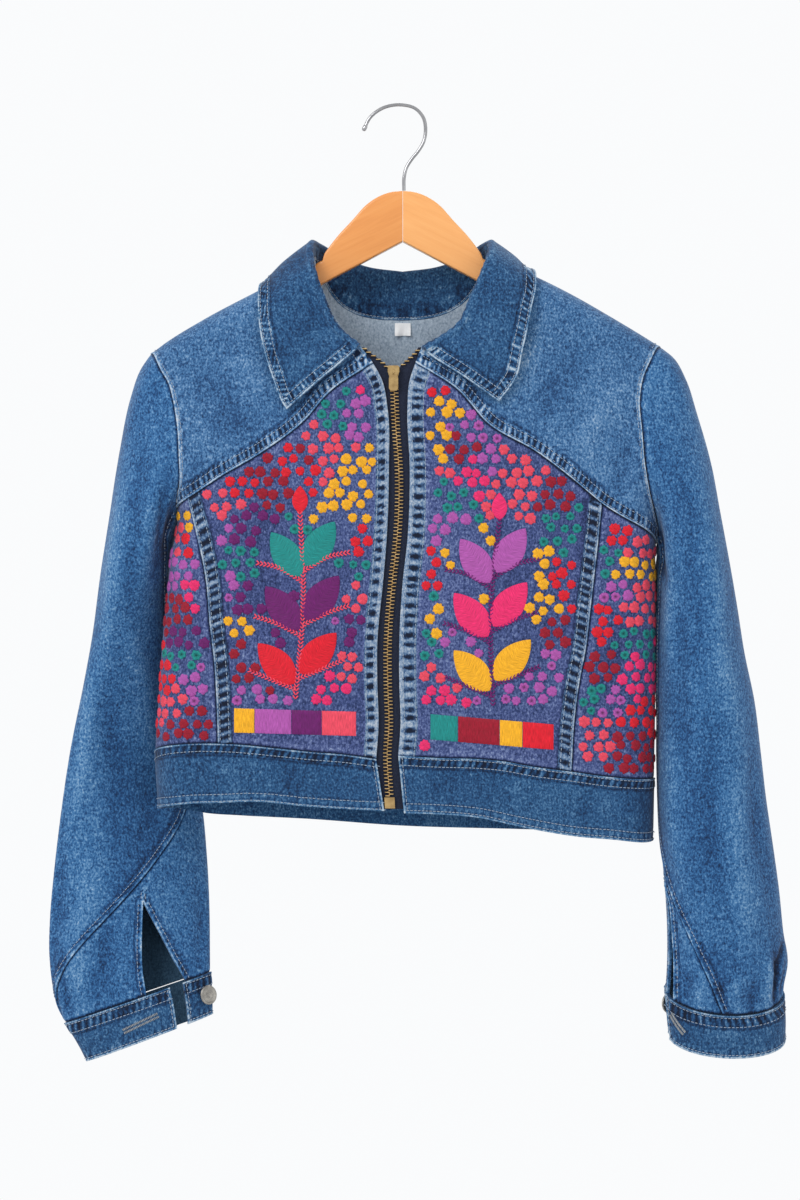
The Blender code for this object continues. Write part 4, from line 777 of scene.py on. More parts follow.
def seam_fields(points, normals, lifts, trims, group, flat=None, back=False):
    """Height of a piece's seams on its grid, their wear with painted light and shade, and where their bands
    are. Notes their stitches too.
    """
    height, wear_and_shading = np.zeros(points.shape[:-1]), np.zeros(points.shape[:-1])
    banded = np.zeros(points.shape[:-1], bool)
    for one in trims:
        line = one["line"]
        if flat is not None:
            distance, along = near(flat, line)
            line_3d = torso_point(line, back)
        else:
            distance, along = near(points, line)
            line_3d = line
        sizes = {key: value for key, value in one.items() if key not in ("kind", "line")}
        own_height, own_wear_and_shading = one["kind"](distance=distance, along=along, **sizes)
        height, wear_and_shading = height + own_height, wear_and_shading + own_wear_and_shading
        banded |= distance < one.get("width", 0.0) + 1.0
        for row in one.get("rows", ()):
            sew(group, points, normals, distance, along, line_3d, row, lifts + STITCH_LIFT + 0 * distance)
    return height, wear_and_shading, banded


def run(length, start_stops, end_stops, count):
    """Shares along lines of given lengths, with fixed stops in millimetres near both ends."""
    length = np.asarray(length, float)[:, None]
    start_stops, end_stops = np.array([0.0] + list(start_stops)), np.array([0.0] + list(end_stops))
    fits_start = np.minimum(1.0, STOPS_AT_MOST * length / max(start_stops[-1], TINY))
    fits_end = np.minimum(1.0, STOPS_AT_MOST * length / max(end_stops[-1], TINY))
    first = start_stops[None, :] * fits_start / length
    last = 1 - end_stops[None, ::-1] * fits_end / length
    middle = first[:, -1:] + (last[:, :1] - first[:, -1:]) * even(count)[1:-1]
    return np.concatenate([first, middle, last], axis=1)


def patch_grid(patch, left, right, top, bottom, columns, rows):
    """Cloth coordinates on a patch, with lines set close together along its seams."""
    tries = even(PATCH_TRIES)
    u, v = np.meshgrid(tries, tries)
    grid = patch(u, v)
    widths = np.linalg.norm(np.diff(grid, axis=1), axis=2).sum(1)
    heights = np.linalg.norm(np.diff(grid, axis=0), axis=2).sum(0)
    usual_u = run([widths.mean()], left, right, columns)[0]
    usual_v = run([heights.mean()], top, bottom, rows)[0]
    u = run(np.interp(usual_v, tries, widths), left, right, columns)
    v = run(np.interp(usual_u, tries, heights), top, bottom, rows).T
    return patch(u, v)


def outer_corner_values(wear_and_shading):
    """Per-corner values of a shell, such as wear with painted light and shade, with none on its inner side.
    """
    return np.concatenate([wear_and_shading.ravel(), np.zeros(wear_and_shading.size)])


def cloth_piece(name, parts, materials, values, **cut):
    """Adds a sewn piece of denim that replaces the node of that name."""
    thing = build_mesh("cloth_" + name, parts, materials, values)
    place_piece(thing, nodes=(name,))
    declare_cloth(thing, name, **cut)


def torso_piece(name, patch, stops, counts, trims, creases, materials, back=False, wall=WALL, proud=0.0):
    """A cut piece of the torso as a shell with its seams, replacing the node of that name."""
    left, right, top, bottom = stops
    flat = patch_grid(patch, left, right, top, bottom, *counts)
    points, normals = torso_point(flat, back), torso_normal(flat, back)
    # The creases' tone is painted light on ridges and painted shade in troughs.
    soft, crease_shading = crease_heights(flat, creases)
    height, wear_and_shading, banded = seam_fields(points, normals, proud + soft, trims, "body", flat, back)
    outer = points + normals * (proud + soft + height)[..., None]
    inner = points + normals * (proud - wall + soft)[..., None]
    corners, faces, inside = shell_mesh(outer, inner)
    if len(materials) > 2:
        in_band = np.concatenate([banded.ravel(), np.zeros(banded.size, bool)])[faces].all(axis=1)
        inside = np.where(in_band & (inside == 0), 2, inside)
    cloth_piece(name, [(corners, faces, inside)], materials, outer_corner_values(wear_and_shading + crease_shading),
                rests_on=ARMS)


# Soft creases of the torso, in cloth coordinates: start, end, half width, height, and the painted light of
# ridges and painted shade of troughs
FRONT_CREASES = {
    LEFT: [
        (-150, -215, -95, -262, 13, 1.2, 0.10), (-175, -235, -120, -292, 11, -1.4, -0.12),
        (-200, -262, -150, -312, 10, 1.1, 0.10), (-110, -190, -70, -240, 12, -1.0, -0.10),
        (-120, -330, -112, -470, 14, -1.3, -0.05), (-70, -350, -76, -520, 16, 1.3, 0.05),
        (-205, -420, -180, -500, 11, -1.2, -0.10), (-210, -380, -185, -420, 8, 1.0, 0.10),
    ],
    RIGHT: [
        (120, -205, 85, -258, 13, 1.1, 0.10), (160, -215, 112, -285, 12, -1.3, -0.12),
        (196, -240, 150, -312, 11, 1.2, 0.12), (205, -290, 180, -350, 9, -1.0, -0.10),
        (95, -340, 102, -480, 15, -1.2, -0.05), (50, -370, 46, -540, 16, 1.3, 0.05),
        (205, -430, 180, -520, 12, -1.3, -0.10), (150, -450, 142, -560, 12, 1.0, 0.06),
    ],
}
BACK_CREASES = [
    (-150, -200, -100, -330, 16, -1.6, -0.14), (-60, -230, -48, -470, 18, 1.5, 0.10),
    (20, -260, 34, -520, 16, -1.4, -0.10), (110, -240, 90, -420, 17, 1.6, 0.12),
    (170, -250, 130, -380, 14, -1.5, -0.14), (-190, -380, -140, -540, 15, -1.5, -0.12),
    (-120, -400, -90, -560, 14, 1.3, 0.10), (180, -420, 130, -590, 15, 1.4, 0.12),
]
HEM_CREASES = [
    (-150, -560, -146, -612, 9, 0.7, 0.06), (-95, -562, -98, -612, 8, -0.8, -0.10),
    (40, -568, 38, -620, 9, -0.7, -0.10), (100, -575, 104, -632, 9, 0.8, 0.08),
    (160, -580, 158, -640, 8, -0.7, -0.10),
]

YOKE_BAND = {"kind": felled_seam, "width": 10.6, "rows": (2.4, 8.4), "pitch": 5.0}
PRINCESS_BAND = {"kind": felled_seam, "width": 11.6, "rows": (2.2, 9.8), "pitch": 7.6, "pucker": 0.7}
PLACKETS = {
    LEFT: {"kind": placket_edge, "width": 11.0, "rows": (3.0, 9.8), "pitch": 8.6},
    RIGHT: {"kind": placket_edge, "width": 15.0, "rows": (3.4, 13.6), "pitch": 8.6},
}
HEM_BAND = {"kind": felled_seam, "width": 9.2, "rows": (1.8, 8.0), "pitch": 6.4, "pucker": 0.5, "lift": 0.3}
HEM_BOTTOM = {"kind": stitched_edge, "width": 9.0, "rows": (2.6, 8.4), "pitch": 7.0, "edge": 0.5}
HEM_END = {"kind": stitched_edge, "width": 6.0, "rows": (3.2,), "pitch": 7.0, "edge": 0.85}
ARMHOLE_EDGE = {"kind": stitched_edge, "width": 7.5, "rows": (5.2,), "pitch": 6.5, "pucker": 0.3}
TUCKED = {"kind": tucked_edge}

# Columns and rows of the pieces' grids between the stops at their seams
GRIDS = {
    "yoke_": (130, 34), "front_": (32, 150), "side_front_": (26, 90), "hem_band_front_": (140, 12),
    "back_panel": (100, 96), "hem_band_back": (230, 12),
}
# First seeds of the seams' uneven waves
FRONT_SEEDS = {LEFT: 100, RIGHT: 200}
BACK_SEED = 300
SLEEVE_SEEDS = {LEFT: 400, RIGHT: 500}
CUFF_SEEDS = {LEFT: 600, RIGHT: 650}
ARMHOLE_STOPS = (0.7, 1.5, 2.6, 4.0, 5.2, 6.6, 8.2)
BACK_ARMHOLE_STOPS = EDGE_STOPS + (5.4, 7.0)
LINE_STEPS = 90

# Heights of the hem band's top and bottom at the sides
HEM_SIDES = {LEFT: (-565, -615), RIGHT: (-588, -642)}
# Shares of the outlines that armholes and necks take
UNDERARM_SHARE = {LEFT: 0.06, RIGHT: 0.03}
FRONT_NECK_SHARE = 0.85
BACK_ARMHOLE_SHARE = 0.42
BACK_NECK_SHARES = (0.34, 0.66)
BACK_SIDE_HOLD = 4


def on_line(settings, points, seed):
    """Seam settings with the places that the seam follows."""
    return {**settings, "line": points, "seed": seed}


def with_line(settings, line, seed):
    return on_line(settings, line(even(LINE_STEPS)), seed)


def build_front(side, yoke_denim, front_denim, hem_denim):
    """Yoke, centre front, side front and hem band of one half of the front."""
    word, creases, placket = WORDS[side], FRONT_CREASES[side], PLACKETS[side]
    armhole, neck = cloth_line(ARMHOLES[side]), cloth_line(FRONT_NECKS[side])
    yoke_seam, princess = cloth_line(YOKE_SEAMS[side]), cloth_line(PRINCESS_SEAMS[side])
    front_edge = cloth_line(FRONT_EDGES[side])
    hem_top, hem_bottom = cloth_line(HEM_TOPS[side]), cloth_line(HEM_BOTTOMS[side])
    # The lines of the hem run from left to right on both halves
    outer_end, inner_end = (0, 1) if side < 0 else (1, 0)

    def patch(top, bottom, outer, inner):
        if side < 0:
            return coons(top, bottom, outer, inner)
        return coons(reverse(top), reverse(bottom), inner, outer)

    def stops(outer, inner, top, bottom):
        return (outer, inner, top, bottom) if side < 0 else (inner, outer, top, bottom)

    shoulder = shoulder_line(ARMHOLES[side][0][0], FRONT_NECKS[side][0][0])
    armhole_end = share_at_height(armhole, yoke_seam(1)[1])
    front_share = share_at_height(front_edge, yoke_seam(0)[1])
    upper_front, lower_front = part_of(front_edge, 0, front_share), part_of(front_edge, front_share, 1)
    neck_side = joined_line(neck, upper_front, FRONT_NECK_SHARE)
    outer_side = part_of(armhole, 0, armhole_end)
    split, hem_split = nearest_share(yoke_seam, princess(0)), nearest_share(hem_top, princess(1))
    underarm = side_line(side, ARMHOLES[side][-1][1], HEM_SIDES[side][0])
    outline = joined_line(part_of(armhole, armhole_end, 1), underarm, UNDERARM_SHARE[side])
    band_side = side_line(side, *HEM_SIDES[side])
    band_end = straight(hem_top(inner_end), hem_bottom(inner_end))

    def piece(name, shape, line_stops, trims, denim, folds=creases, **more):
        seams = [with_line(settings, line, FRONT_SEEDS[side] + number) for settings, line, number in trims]
        torso_piece(name + word, shape, line_stops, GRIDS[name], seams, folds, denim, **more)

    piece("yoke_", patch(shoulder, reverse(yoke_seam), outer_side, neck_side),
          stops(ARMHOLE_STOPS, BAND_STOPS, (), BAND_STOPS),
          [(YOKE_BAND, yoke_seam, 0), (ARMHOLE_EDGE, outer_side, 3), (placket, upper_front, 6)], yoke_denim)
    piece("front_",
          patch(part_of(yoke_seam, split, 0), part_of(hem_top, hem_split, inner_end), princess, lower_front),
          (BAND_STOPS, BAND_STOPS, EDGE_STOPS, EDGE_STOPS),
          [(TUCKED, part_of(yoke_seam, 0, split), 9), (PRINCESS_BAND, princess, 12),
           (placket, lower_front, 15), (TUCKED, hem_top, 18)], front_denim)
    piece("side_front_",
          patch(part_of(yoke_seam, 1, split), part_of(hem_top, outer_end, hem_split), outline, princess),
          stops((), EDGE_STOPS, EDGE_STOPS, EDGE_STOPS),
          [(TUCKED, part_of(yoke_seam, split, 1), 21), (TUCKED, princess, 24), (TUCKED, hem_top, 27)],
          front_denim)
    piece("hem_band_front_",
          patch(part_of(hem_top, outer_end, inner_end), part_of(hem_bottom, outer_end, inner_end), band_side,
                band_end),
          stops((), END_STOPS, HEM_STOPS, HEM_STOPS),
          [(HEM_BAND, hem_top, 30), (HEM_BOTTOM, hem_bottom, 33), (HEM_END, band_end, 36)], hem_denim,
          folds=HEM_CREASES, wall=DOUBLE_WALL, proud=BAND_PROUD)


def build_back(denim, band_denim):
    """Back panel and the back's hem band."""
    armholes = {side: cloth_line(ARMHOLES[side]) for side in WORDS}
    outlines = [joined_line(armholes[side], side_line(side, ARMHOLES[side][-1][1], HEM_SIDES[side][0]),
                            BACK_ARMHOLE_SHARE) for side in WORDS]
    left_share, right_share = BACK_NECK_SHARES
    left_shoulder = shoulder_line(ARMHOLES[LEFT][0][0], BACK_NECKS[LEFT][0][0])
    right_shoulder = shoulder_line(BACK_NECKS[RIGHT][0][0], ARMHOLES[RIGHT][0][0])
    neck = joined_line(cloth_line(BACK_NECKS[LEFT]), reverse(cloth_line(BACK_NECKS[RIGHT])), 0.5)
    neck_end = (right_share - left_share) / (1 - left_share)
    top = joined_line(left_shoulder, joined_line(neck, right_shoulder, neck_end), left_share)
    hem_top, hem_bottom = cloth_line(BACK_HEM_TOP), cloth_line(BACK_HEM_BOTTOM)
    panel = coons(top, hem_top, *outlines, side_hold=BACK_SIDE_HOLD)
    trims = [with_line(ARMHOLE_EDGE, armholes[LEFT], BACK_SEED),
             with_line(ARMHOLE_EDGE, armholes[RIGHT], BACK_SEED + 3),
             with_line(TUCKED, hem_top, BACK_SEED + 6)]
    torso_piece("back_panel", panel, (BACK_ARMHOLE_STOPS, BACK_ARMHOLE_STOPS, (), EDGE_STOPS),
                GRIDS["back_panel"], trims, BACK_CREASES, denim, back=True)
    band = coons(hem_top, hem_bottom, *(side_line(side, *HEM_SIDES[side]) for side in WORDS))
    trims = [with_line(HEM_BAND, hem_top, BACK_SEED + 9), with_line(HEM_BOTTOM, hem_bottom, BACK_SEED + 12)]
    torso_piece("hem_band_back", band, ((), (), HEM_STOPS, HEM_STOPS), GRIDS["hem_band_back"], trims,
                HEM_CREASES, band_denim, back=True, wall=DOUBLE_WALL, proud=BAND_PROUD)


# Width of cloth round a sleeve that counts as one degree in its creases' table
MM_PER_DEGREE = 0.85
# Steps in degrees and in share of the length at which a tube's slopes are taken
ANGLE_STEP = 0.4
SHARE_STEP = 0.0025
SLEEVE_MARGIN = 0.003


def half_turn(angle):
    """The same angle from -180 to 180 degrees."""
    return (angle + 180) % 360 - 180


def ring_point(row, angle):
    """Places on sleeve sections. Rows hold the sleeve columns, angles are in degrees."""
    ring = {column: row[..., number] for number, column in enumerate(SLEEVE_COLUMNS)}
    cosine, sine = np.cos(np.radians(angle)), np.sin(np.radians(angle))
    outer = np.stack([ring["outer_x"], ring["outer_y"], ring["outer_z"]], -1)
    inner = np.stack([ring["inner_x"], ring["inner_y"], ring["inner_z"]], -1)
    depth = np.where(sine > 0, ring["front"], ring["back"])
    lean = np.stack([ring["bow"] * sine * sine, -depth * sine, -ring["dip"] * sine], -1)
    return (outer + inner) / 2 + (outer - inner) / 2 * np.asarray(cosine)[..., None] + lean


def armhole_ring(side, angle):
    """The armhole's places and outward normals on the torso at sleeve angles."""
    line = cloth_line(ARMHOLES[side])
    turned = half_turn(angle)
    flat = line(np.abs(turned) / 180)
    back = (turned < 0)[..., None]
    places = np.where(back, torso_point(flat, True), torso_point(flat))
    return places, np.where(back, torso_normal(flat, True), torso_normal(flat))


def sleeve_surface(side):
    """Sleeve surface as a function of angles and shares of its length, and its length."""
    rows = np.array(SLEEVE_SECTIONS[side], float)
    middles = (ring_point(rows, 0) + ring_point(rows, 180)) / 2
    lengths = np.concatenate([[0.0], np.cumsum(np.linalg.norm(np.diff(middles, axis=0), axis=1))])
    follow = profile(np.column_stack([lengths / lengths[-1], rows]))

    def place(angle, share):
        angle, share = np.broadcast_arrays(np.asarray(angle, float), np.asarray(share, float))
        point = ring_point(follow(share), angle)
        correction = armhole_ring(side, angle)[0] - ring_point(rows[0], angle)
        return point + correction * (1 - ease(share / ARMHOLE_FADE))[..., None]
    return place, lengths[-1]


def tube_normals(place, angle, share, margin):
    """Outward normals of a tube, which are taken at least a margin away from its ends."""
    share = np.clip(share, margin, 1 - margin)
    around = place(angle + ANGLE_STEP, share) - place(angle - ANGLE_STEP, share)
    along = place(angle, share + SHARE_STEP) - place(angle, share - SHARE_STEP)
    normal = unit(np.cross(around, along))
    middle = (place(0 * angle, share) + place(0 * angle + 180, share)) / 2
    outward = ((place(angle, share) - middle) * normal).sum(-1, keepdims=True)
    return normal * np.where(outward < 0, -1, 1)


# Creases of the sleeves: start angle, share of the length, end angle, share, half width, height, and the
# painted light of ridges and painted shade of troughs
SLEEVE_CREASES = {
    LEFT: [
        (60, 0.06, 95, 0.34, 11, -1.8, -0.16), (35, 0.1, 52, 0.48, 12, 1.7, 0.16),
        (120, 0.04, 135, 0.26, 9, -2.0, -0.3), (150, 0.02, 150, 0.22, 9, -1.8, -0.4),
        (178, -0.04, 178, 0.44, 15, 3.2, 0.0), (-178, -0.04, -178, 0.44, 15, 3.2, 0.0),
        (85, 0.3, 112, 0.6, 11, 1.6, 0.12), (55, 0.42, 82, 0.72, 11, -1.9, -0.18),
        (25, 0.4, 40, 0.74, 11, 1.6, 0.16), (100, 0.55, 96, 0.8, 9, -1.5, -0.14),
        (62, 0.7, 40, 0.94, 10, 1.6, 0.14), (22, 0.7, 12, 0.95, 9, -1.6, -0.14),
        (75, 0.84, 60, 1.0, 7, -1.6, -0.2), (48, 0.9, 44, 1.0, 5, 1.2, 0.14),
        (30, 0.92, 28, 1.0, 4, -1.4, -0.25), (110, 0.82, 104, 1.0, 6, 1.0, 0.12),
        (150, 0.8, 150, 0.99, 7, -1.2, -0.12), (-60, 0.08, -88, 0.4, 12, -2.0, -0.16),
        (-100, 0.14, -112, 0.52, 12, 1.8, 0.14), (-70, 0.45, -60, 0.8, 12, -1.9, -0.16),
        (-125, 0.5, -108, 0.86, 12, 1.7, 0.14), (-45, 0.7, -50, 0.98, 10, 1.5, 0.12),
        (-90, 0.8, -95, 1.0, 7, -1.5, -0.2),
    ],
    RIGHT: [
        (70, 0.08, 96, 0.42, 11, -1.8, -0.14), (46, 0.14, 60, 0.6, 12, 1.6, 0.14),
        (112, 0.2, 118, 0.66, 11, -1.7, -0.16), (178, -0.04, 178, 0.46, 15, 3.0, 0.0),
        (-178, -0.04, -178, 0.46, 15, 3.0, 0.0), (134, 0.12, 128, 0.5, 10, 1.4, 0.12),
        (160, 0.02, 140, 0.22, 8, -2.0, -0.3), (86, 0.48, 92, 0.86, 11, -1.8, -0.16),
        (62, 0.6, 68, 0.93, 10, 1.5, 0.14), (36, 0.52, 32, 0.88, 10, -1.5, -0.14),
        (140, 0.55, 130, 0.84, 9, 1.3, 0.12), (38, 0.9, 32, 1.0, 3.4, -2.8, -0.85),
        (50, 0.9, 44, 1.0, 4.6, 1.9, 0.3), (12, 0.895, 38, 0.93, 3.2, -1.8, -0.6),
        (20, 0.93, 18, 1.0, 4.0, -1.6, -0.35), (66, 0.94, 64, 1.0, 4.0, -1.3, -0.25),
        (84, 0.93, 82, 1.0, 4.4, 1.1, 0.2), (98, 0.94, 98, 1.0, 4.0, -1.3, -0.25),
        (116, 0.93, 118, 1.0, 4.4, 1.1, 0.2), (132, 0.94, 134, 1.0, 4.0, -1.2, -0.2),
        (-60, 0.08, -84, 0.44, 12, -2.0, -0.16), (-105, 0.12, -112, 0.5, 12, 1.8, 0.14),
        (-74, 0.48, -66, 0.84, 12, -1.8, -0.16), (-120, 0.52, -110, 0.88, 12, 1.6, 0.14),
        (-48, 0.72, -52, 0.99, 9, 1.5, 0.12), (-88, 0.86, -90, 1.0, 7, -1.5, -0.2),
    ],
}
SLEEVE_BAND = {"kind": felled_seam, "width": 6.2, "rows": (4.6,), "pitch": 6.0, "pucker": 0.35, "edge": 0.6}
SLIT_EDGE = {"kind": felled_seam, "width": 5.6, "rows": (4.2,), "pitch": 5.6, "pucker": 0.5, "edge": 0.8}
SLIT_SEAM = {"kind": stitched_edge, "width": 4.0, "rows": (1.8,), "pitch": 4.6, "edge": 0.3, "pucker": 0.6}
SLEEVE_ROWS = 205
TOP_COLUMNS, BEFORE_SLIT_COLUMNS, PAST_SLIT_COLUMNS = 44, 12, 20
SLEEVE_TOP_STOPS = (2.0, 4.0)
SLIT_SEAM_LENGTH = 0.02
WIDTH_TRIES = 10
# Share of the sleeve over which its seam with the armhole turns out, and length over which creases begin
SEAM_TURN_SHARE = 0.02
CREASE_FADE = 18.0


def sleeve_strip(side, place, length, start_line, end_line, left, right, columns, trims, creases):
    """Outer and inner points and wear of one stretch of a sleeve between two lines."""
    shares = run([length], SLEEVE_TOP_STOPS, EDGE_STOPS, SLEEVE_ROWS)[0]
    start, end = start_line(shares)[:, None], end_line(shares)[:, None]
    tries = even(WIDTH_TRIES)
    rough = place(start + (end - start) * tries, shares[:, None] + 0 * tries)
    widths = np.linalg.norm(np.diff(rough, axis=1), axis=2).sum(1)
    angle = start + (end - start) * run(widths, left, right, columns)
    share = shares[:, None] + 0 * angle
    points, own = place(angle, share), tube_normals(place, angle, share, SLEEVE_MARGIN)
    torso_out = armhole_ring(side, angle)[1]
    turned = half_turn(angle)
    fold = ease((np.abs(turned) - FOLD_STARTS_AT) / (FOLD_ENDS_AT - FOLD_STARTS_AT))[..., None]
    starting = (1 - ease(share / SEAM_TURN_SHARE))[..., None]
    aim = unit(torso_out * (1 - fold) + own * fold)
    normals = unit(own * (1 - starting) + aim * starting)
    points = points + torso_out * ARMHOLE_SEAM_GAP * fold * starting
    flat = np.stack([turned * MM_PER_DEGREE, share * length], -1)
    table = [(turn * MM_PER_DEGREE, down * length, end_turn * MM_PER_DEGREE, end_down * length, *rest)
             for turn, down, end_turn, end_down, *rest in creases]
    # The creases' tone is painted light on ridges and painted shade in troughs.
    soft, crease_shading = crease_heights(flat, table)
    soft = soft * ease(share * length / CREASE_FADE)
    height, wear_and_shading, _ = seam_fields(points, normals, soft, trims, "sleeves")
    outer = points + normals * (soft + height)[..., None]
    inner = points + normals * (soft - WALL)[..., None]
    corners, faces, inside = shell_mesh(outer, inner)
    return (corners, faces, inside), outer_corner_values(wear_and_shading + crease_shading)


def build_sleeve(side, denim):
    """Top sleeve, and the under sleeve as two strips with the slit between them."""
    seed = SLEEVE_SEEDS[side]
    place, length = sleeve_surface(side)
    seams, slit = profile(SLEEVE_SEAMS[side]), SLITS[side]

    def front_seam(share):
        return seams(share)[..., 0]

    def back_seam(share):
        return seams(share)[..., 1]

    def back_seam_after_turn(share):
        return back_seam(share) + 360

    def slit_edge(which):
        def line(share):
            opened = np.maximum((share - slit["starts"]) / (1 - slit["starts"]), 0.0)
            angle = slit["start_angle"] + (slit[which] - slit["start_angle"]) * opened
            return np.maximum(angle, front_seam(share) + SLIT_CLEAR_OF_SEAM)
        return line

    def trim(settings, line, number, start=0.0, end=1.0):
        shares = start + (end - start) * even(LINE_STEPS)
        return on_line(settings, place(line(shares), shares), seed + number)

    def strip(start_line, end_line, left, right, columns, trims):
        return sleeve_strip(side, place, length, start_line, end_line, left, right, columns, ends + trims,
                            SLEEVE_CREASES[side])

    around = 360 * even(LINE_STEPS)
    ends = [on_line(TUCKED, place(around, np.ones_like(around)), seed),
            on_line(TUCKED, place(around, np.zeros_like(around)), seed + 3)]
    stops = SLIT_STOPS
    seam_start = slit["starts"] - SLIT_SEAM_LENGTH
    top = [strip(back_seam, front_seam, stops, stops, TOP_COLUMNS,
                 [trim(SLEEVE_BAND, front_seam, 6), trim(SLEEVE_BAND, back_seam, 9)])]
    tucked = [trim(TUCKED, front_seam, 12), trim(TUCKED, back_seam, 15)]
    edges = {which: slit_edge(which) for which in ("outer_angle", "inner_angle")}
    slit_trims = {
        which: tucked + [trim(SLIT_EDGE, edge, 18 + number, slit["starts"], 1.0),
                         trim(SLIT_SEAM, edge, 24 + number, seam_start, slit["starts"])]
        for number, (which, edge) in zip((0, 3), edges.items())
    }
    under = [strip(front_seam, edges["outer_angle"], EDGE_STOPS, stops, BEFORE_SLIT_COLUMNS,
                   slit_trims["outer_angle"]),
             strip(edges["inner_angle"], back_seam_after_turn, stops, EDGE_STOPS, PAST_SLIT_COLUMNS,
                   slit_trims["inner_angle"])]
    for name, strips in (("top_sleeve_", top), ("under_sleeve_", under)):
        values = np.concatenate([wear_and_shading for _, wear_and_shading in strips])
        cloth_piece(name + WORDS[side], [part for part, _ in strips], denim, values)


CUFF_TOP = {"kind": felled_seam, "width": 11.2, "rows": (2.2, 10.0), "pitch": 5.6, "pucker": 0.6, "lift": 0.4}
CUFF_BOTTOM = {"kind": stitched_edge, "width": 7.0, "rows": (2.8,), "pitch": 6.0, "edge": 0.9, "pucker": 0.4}
CUFF_END = {"kind": stitched_edge, "width": 6.0, "rows": (2.8,), "pitch": 6.0, "edge": 0.8, "pucker": 0.4}
CUFF_MARGIN = 0.03
CUFF_STEPS = 80
CUFF_COLUMNS = 170
CUFF_ROWS = 12
# Pale, worn patch on the front of a cuff: angle and share of the height of its middle, with their widths
CUFF_WEAR = {"angle": 95, "across": 22, "share": 0.4, "down": 0.3, "tone": 0.25}
BUTTON_LIFT = 0.15
BUTTON_SIDES = 48
BUTTONHOLES = {
    LEFT: {"start_angle": 72, "end_angle": 102, "start_share": 0.60, "end_share": 0.52},
    RIGHT: {"start_angle": 138, "end_angle": 158, "start_share": 0.62, "end_share": 0.36},
}
BUTTONHOLE_STITCHES = 24
BUTTONHOLE_HALF_WIDTH = 1.5
BUTTONHOLE_LIFT = 0.5
BUTTONHOLE_THREAD = (2.0, 0.5)


def cuff_surface(side):
    rows = np.array(CUFF_SECTIONS[side], float)
    follow = profile(np.column_stack([even(len(rows) - 1), rows]))

    def place(angle, share):
        angle, share = np.broadcast_arrays(np.asarray(angle, float), np.asarray(share, float))
        return ring_point(follow(share), angle)
    return place


def build_cuff(side, denim, metal, thread):
    """Cuff, open at the slit, with its button and buttonhole."""
    seed, place = CUFF_SEEDS[side], cuff_surface(side)
    start, end = CUFF_ENDS[side]["underlap"] - 360, CUFF_ENDS[side]["overlap"]
    around, down = start + (end - start) * even(CUFF_STEPS), even(EDGE_STEPS)
    top_line, bottom_line = place(around, 0 * around), place(around, 0 * around + 1)
    height_mm, width_mm = length_of(place(0 * down + 90, down)), length_of(top_line)
    share = run([height_mm], HEM_STOPS, SLIT_STOPS, CUFF_ROWS)[0][:, None]
    angle = start + (end - start) * run([width_mm], END_STOPS, END_STOPS, CUFF_COLUMNS)[0][None, :]
    angle, share = np.broadcast_arrays(angle, share)
    points, normals = place(angle, share), tube_normals(place, angle, share, CUFF_MARGIN)
    trims = [on_line(CUFF_TOP, top_line, seed), on_line(CUFF_BOTTOM, bottom_line, seed + 3),
             on_line(CUFF_END, place(0 * down + end, down), seed + 6),
             on_line(CUFF_END, place(0 * down + start, down), seed + 9)]
    height, wear_and_shading, _ = seam_fields(points, normals, BAND_PROUD, trims, "sleeves")
    worn = bell(angle - CUFF_WEAR["angle"], CUFF_WEAR["across"])
    worn = worn * bell(share - CUFF_WEAR["share"], CUFF_WEAR["down"])
    outer = points + normals * (BAND_PROUD + height)[..., None]
    inner = points + normals * (BAND_PROUD - DOUBLE_WALL)
    values = outer_corner_values(wear_and_shading + CUFF_WEAR["tone"] * worn)
    cloth_piece("cuff_" + WORDS[side], [shell_mesh(outer, inner)], denim, values)
    build_cuff_fastening(side, place, metal, thread)


def turned_shape(seat, normal, outline, sides):
    """Corners and faces of an outline of radii and heights turned about a normal."""
    third = unit(normal)
    first = unit(np.cross(np.array([0.0, 0.0, 1.0]), third))
    second = np.cross(third, first)
    turns = np.arange(sides) * 2 * math.pi / sides
    spokes = np.cos(turns)[:, None] * first + np.sin(turns)[:, None] * second
    corners = np.concatenate([seat + third * height + spokes * radius for radius, height in outline])
    return plain_part(corners, ring_faces(len(outline), sides))


# Turned outline of a tack button's head over its shank: radius and height
BUTTON_OUTLINE = [
    (0.05, 0.0), (SHANK_RADIUS, 0.0), (SHANK_RADIUS, 1.0), (SHANK_RADIUS + 0.4, SHANK_LENGTH),
    (7.6, SHANK_LENGTH), (8.2, 1.5), (BUTTON_RADIUS, 2.0), (8.45, 2.6), (8.1, 3.1), (7.5, 3.4), (6.9, 3.3),
    (6.4, 2.9), (5.9, 2.75), (4.4, 2.85), (3.0, 3.0), (2.4, 2.8), (2.0, 2.55), (1.2, 2.5), (0.05, 2.5),
]


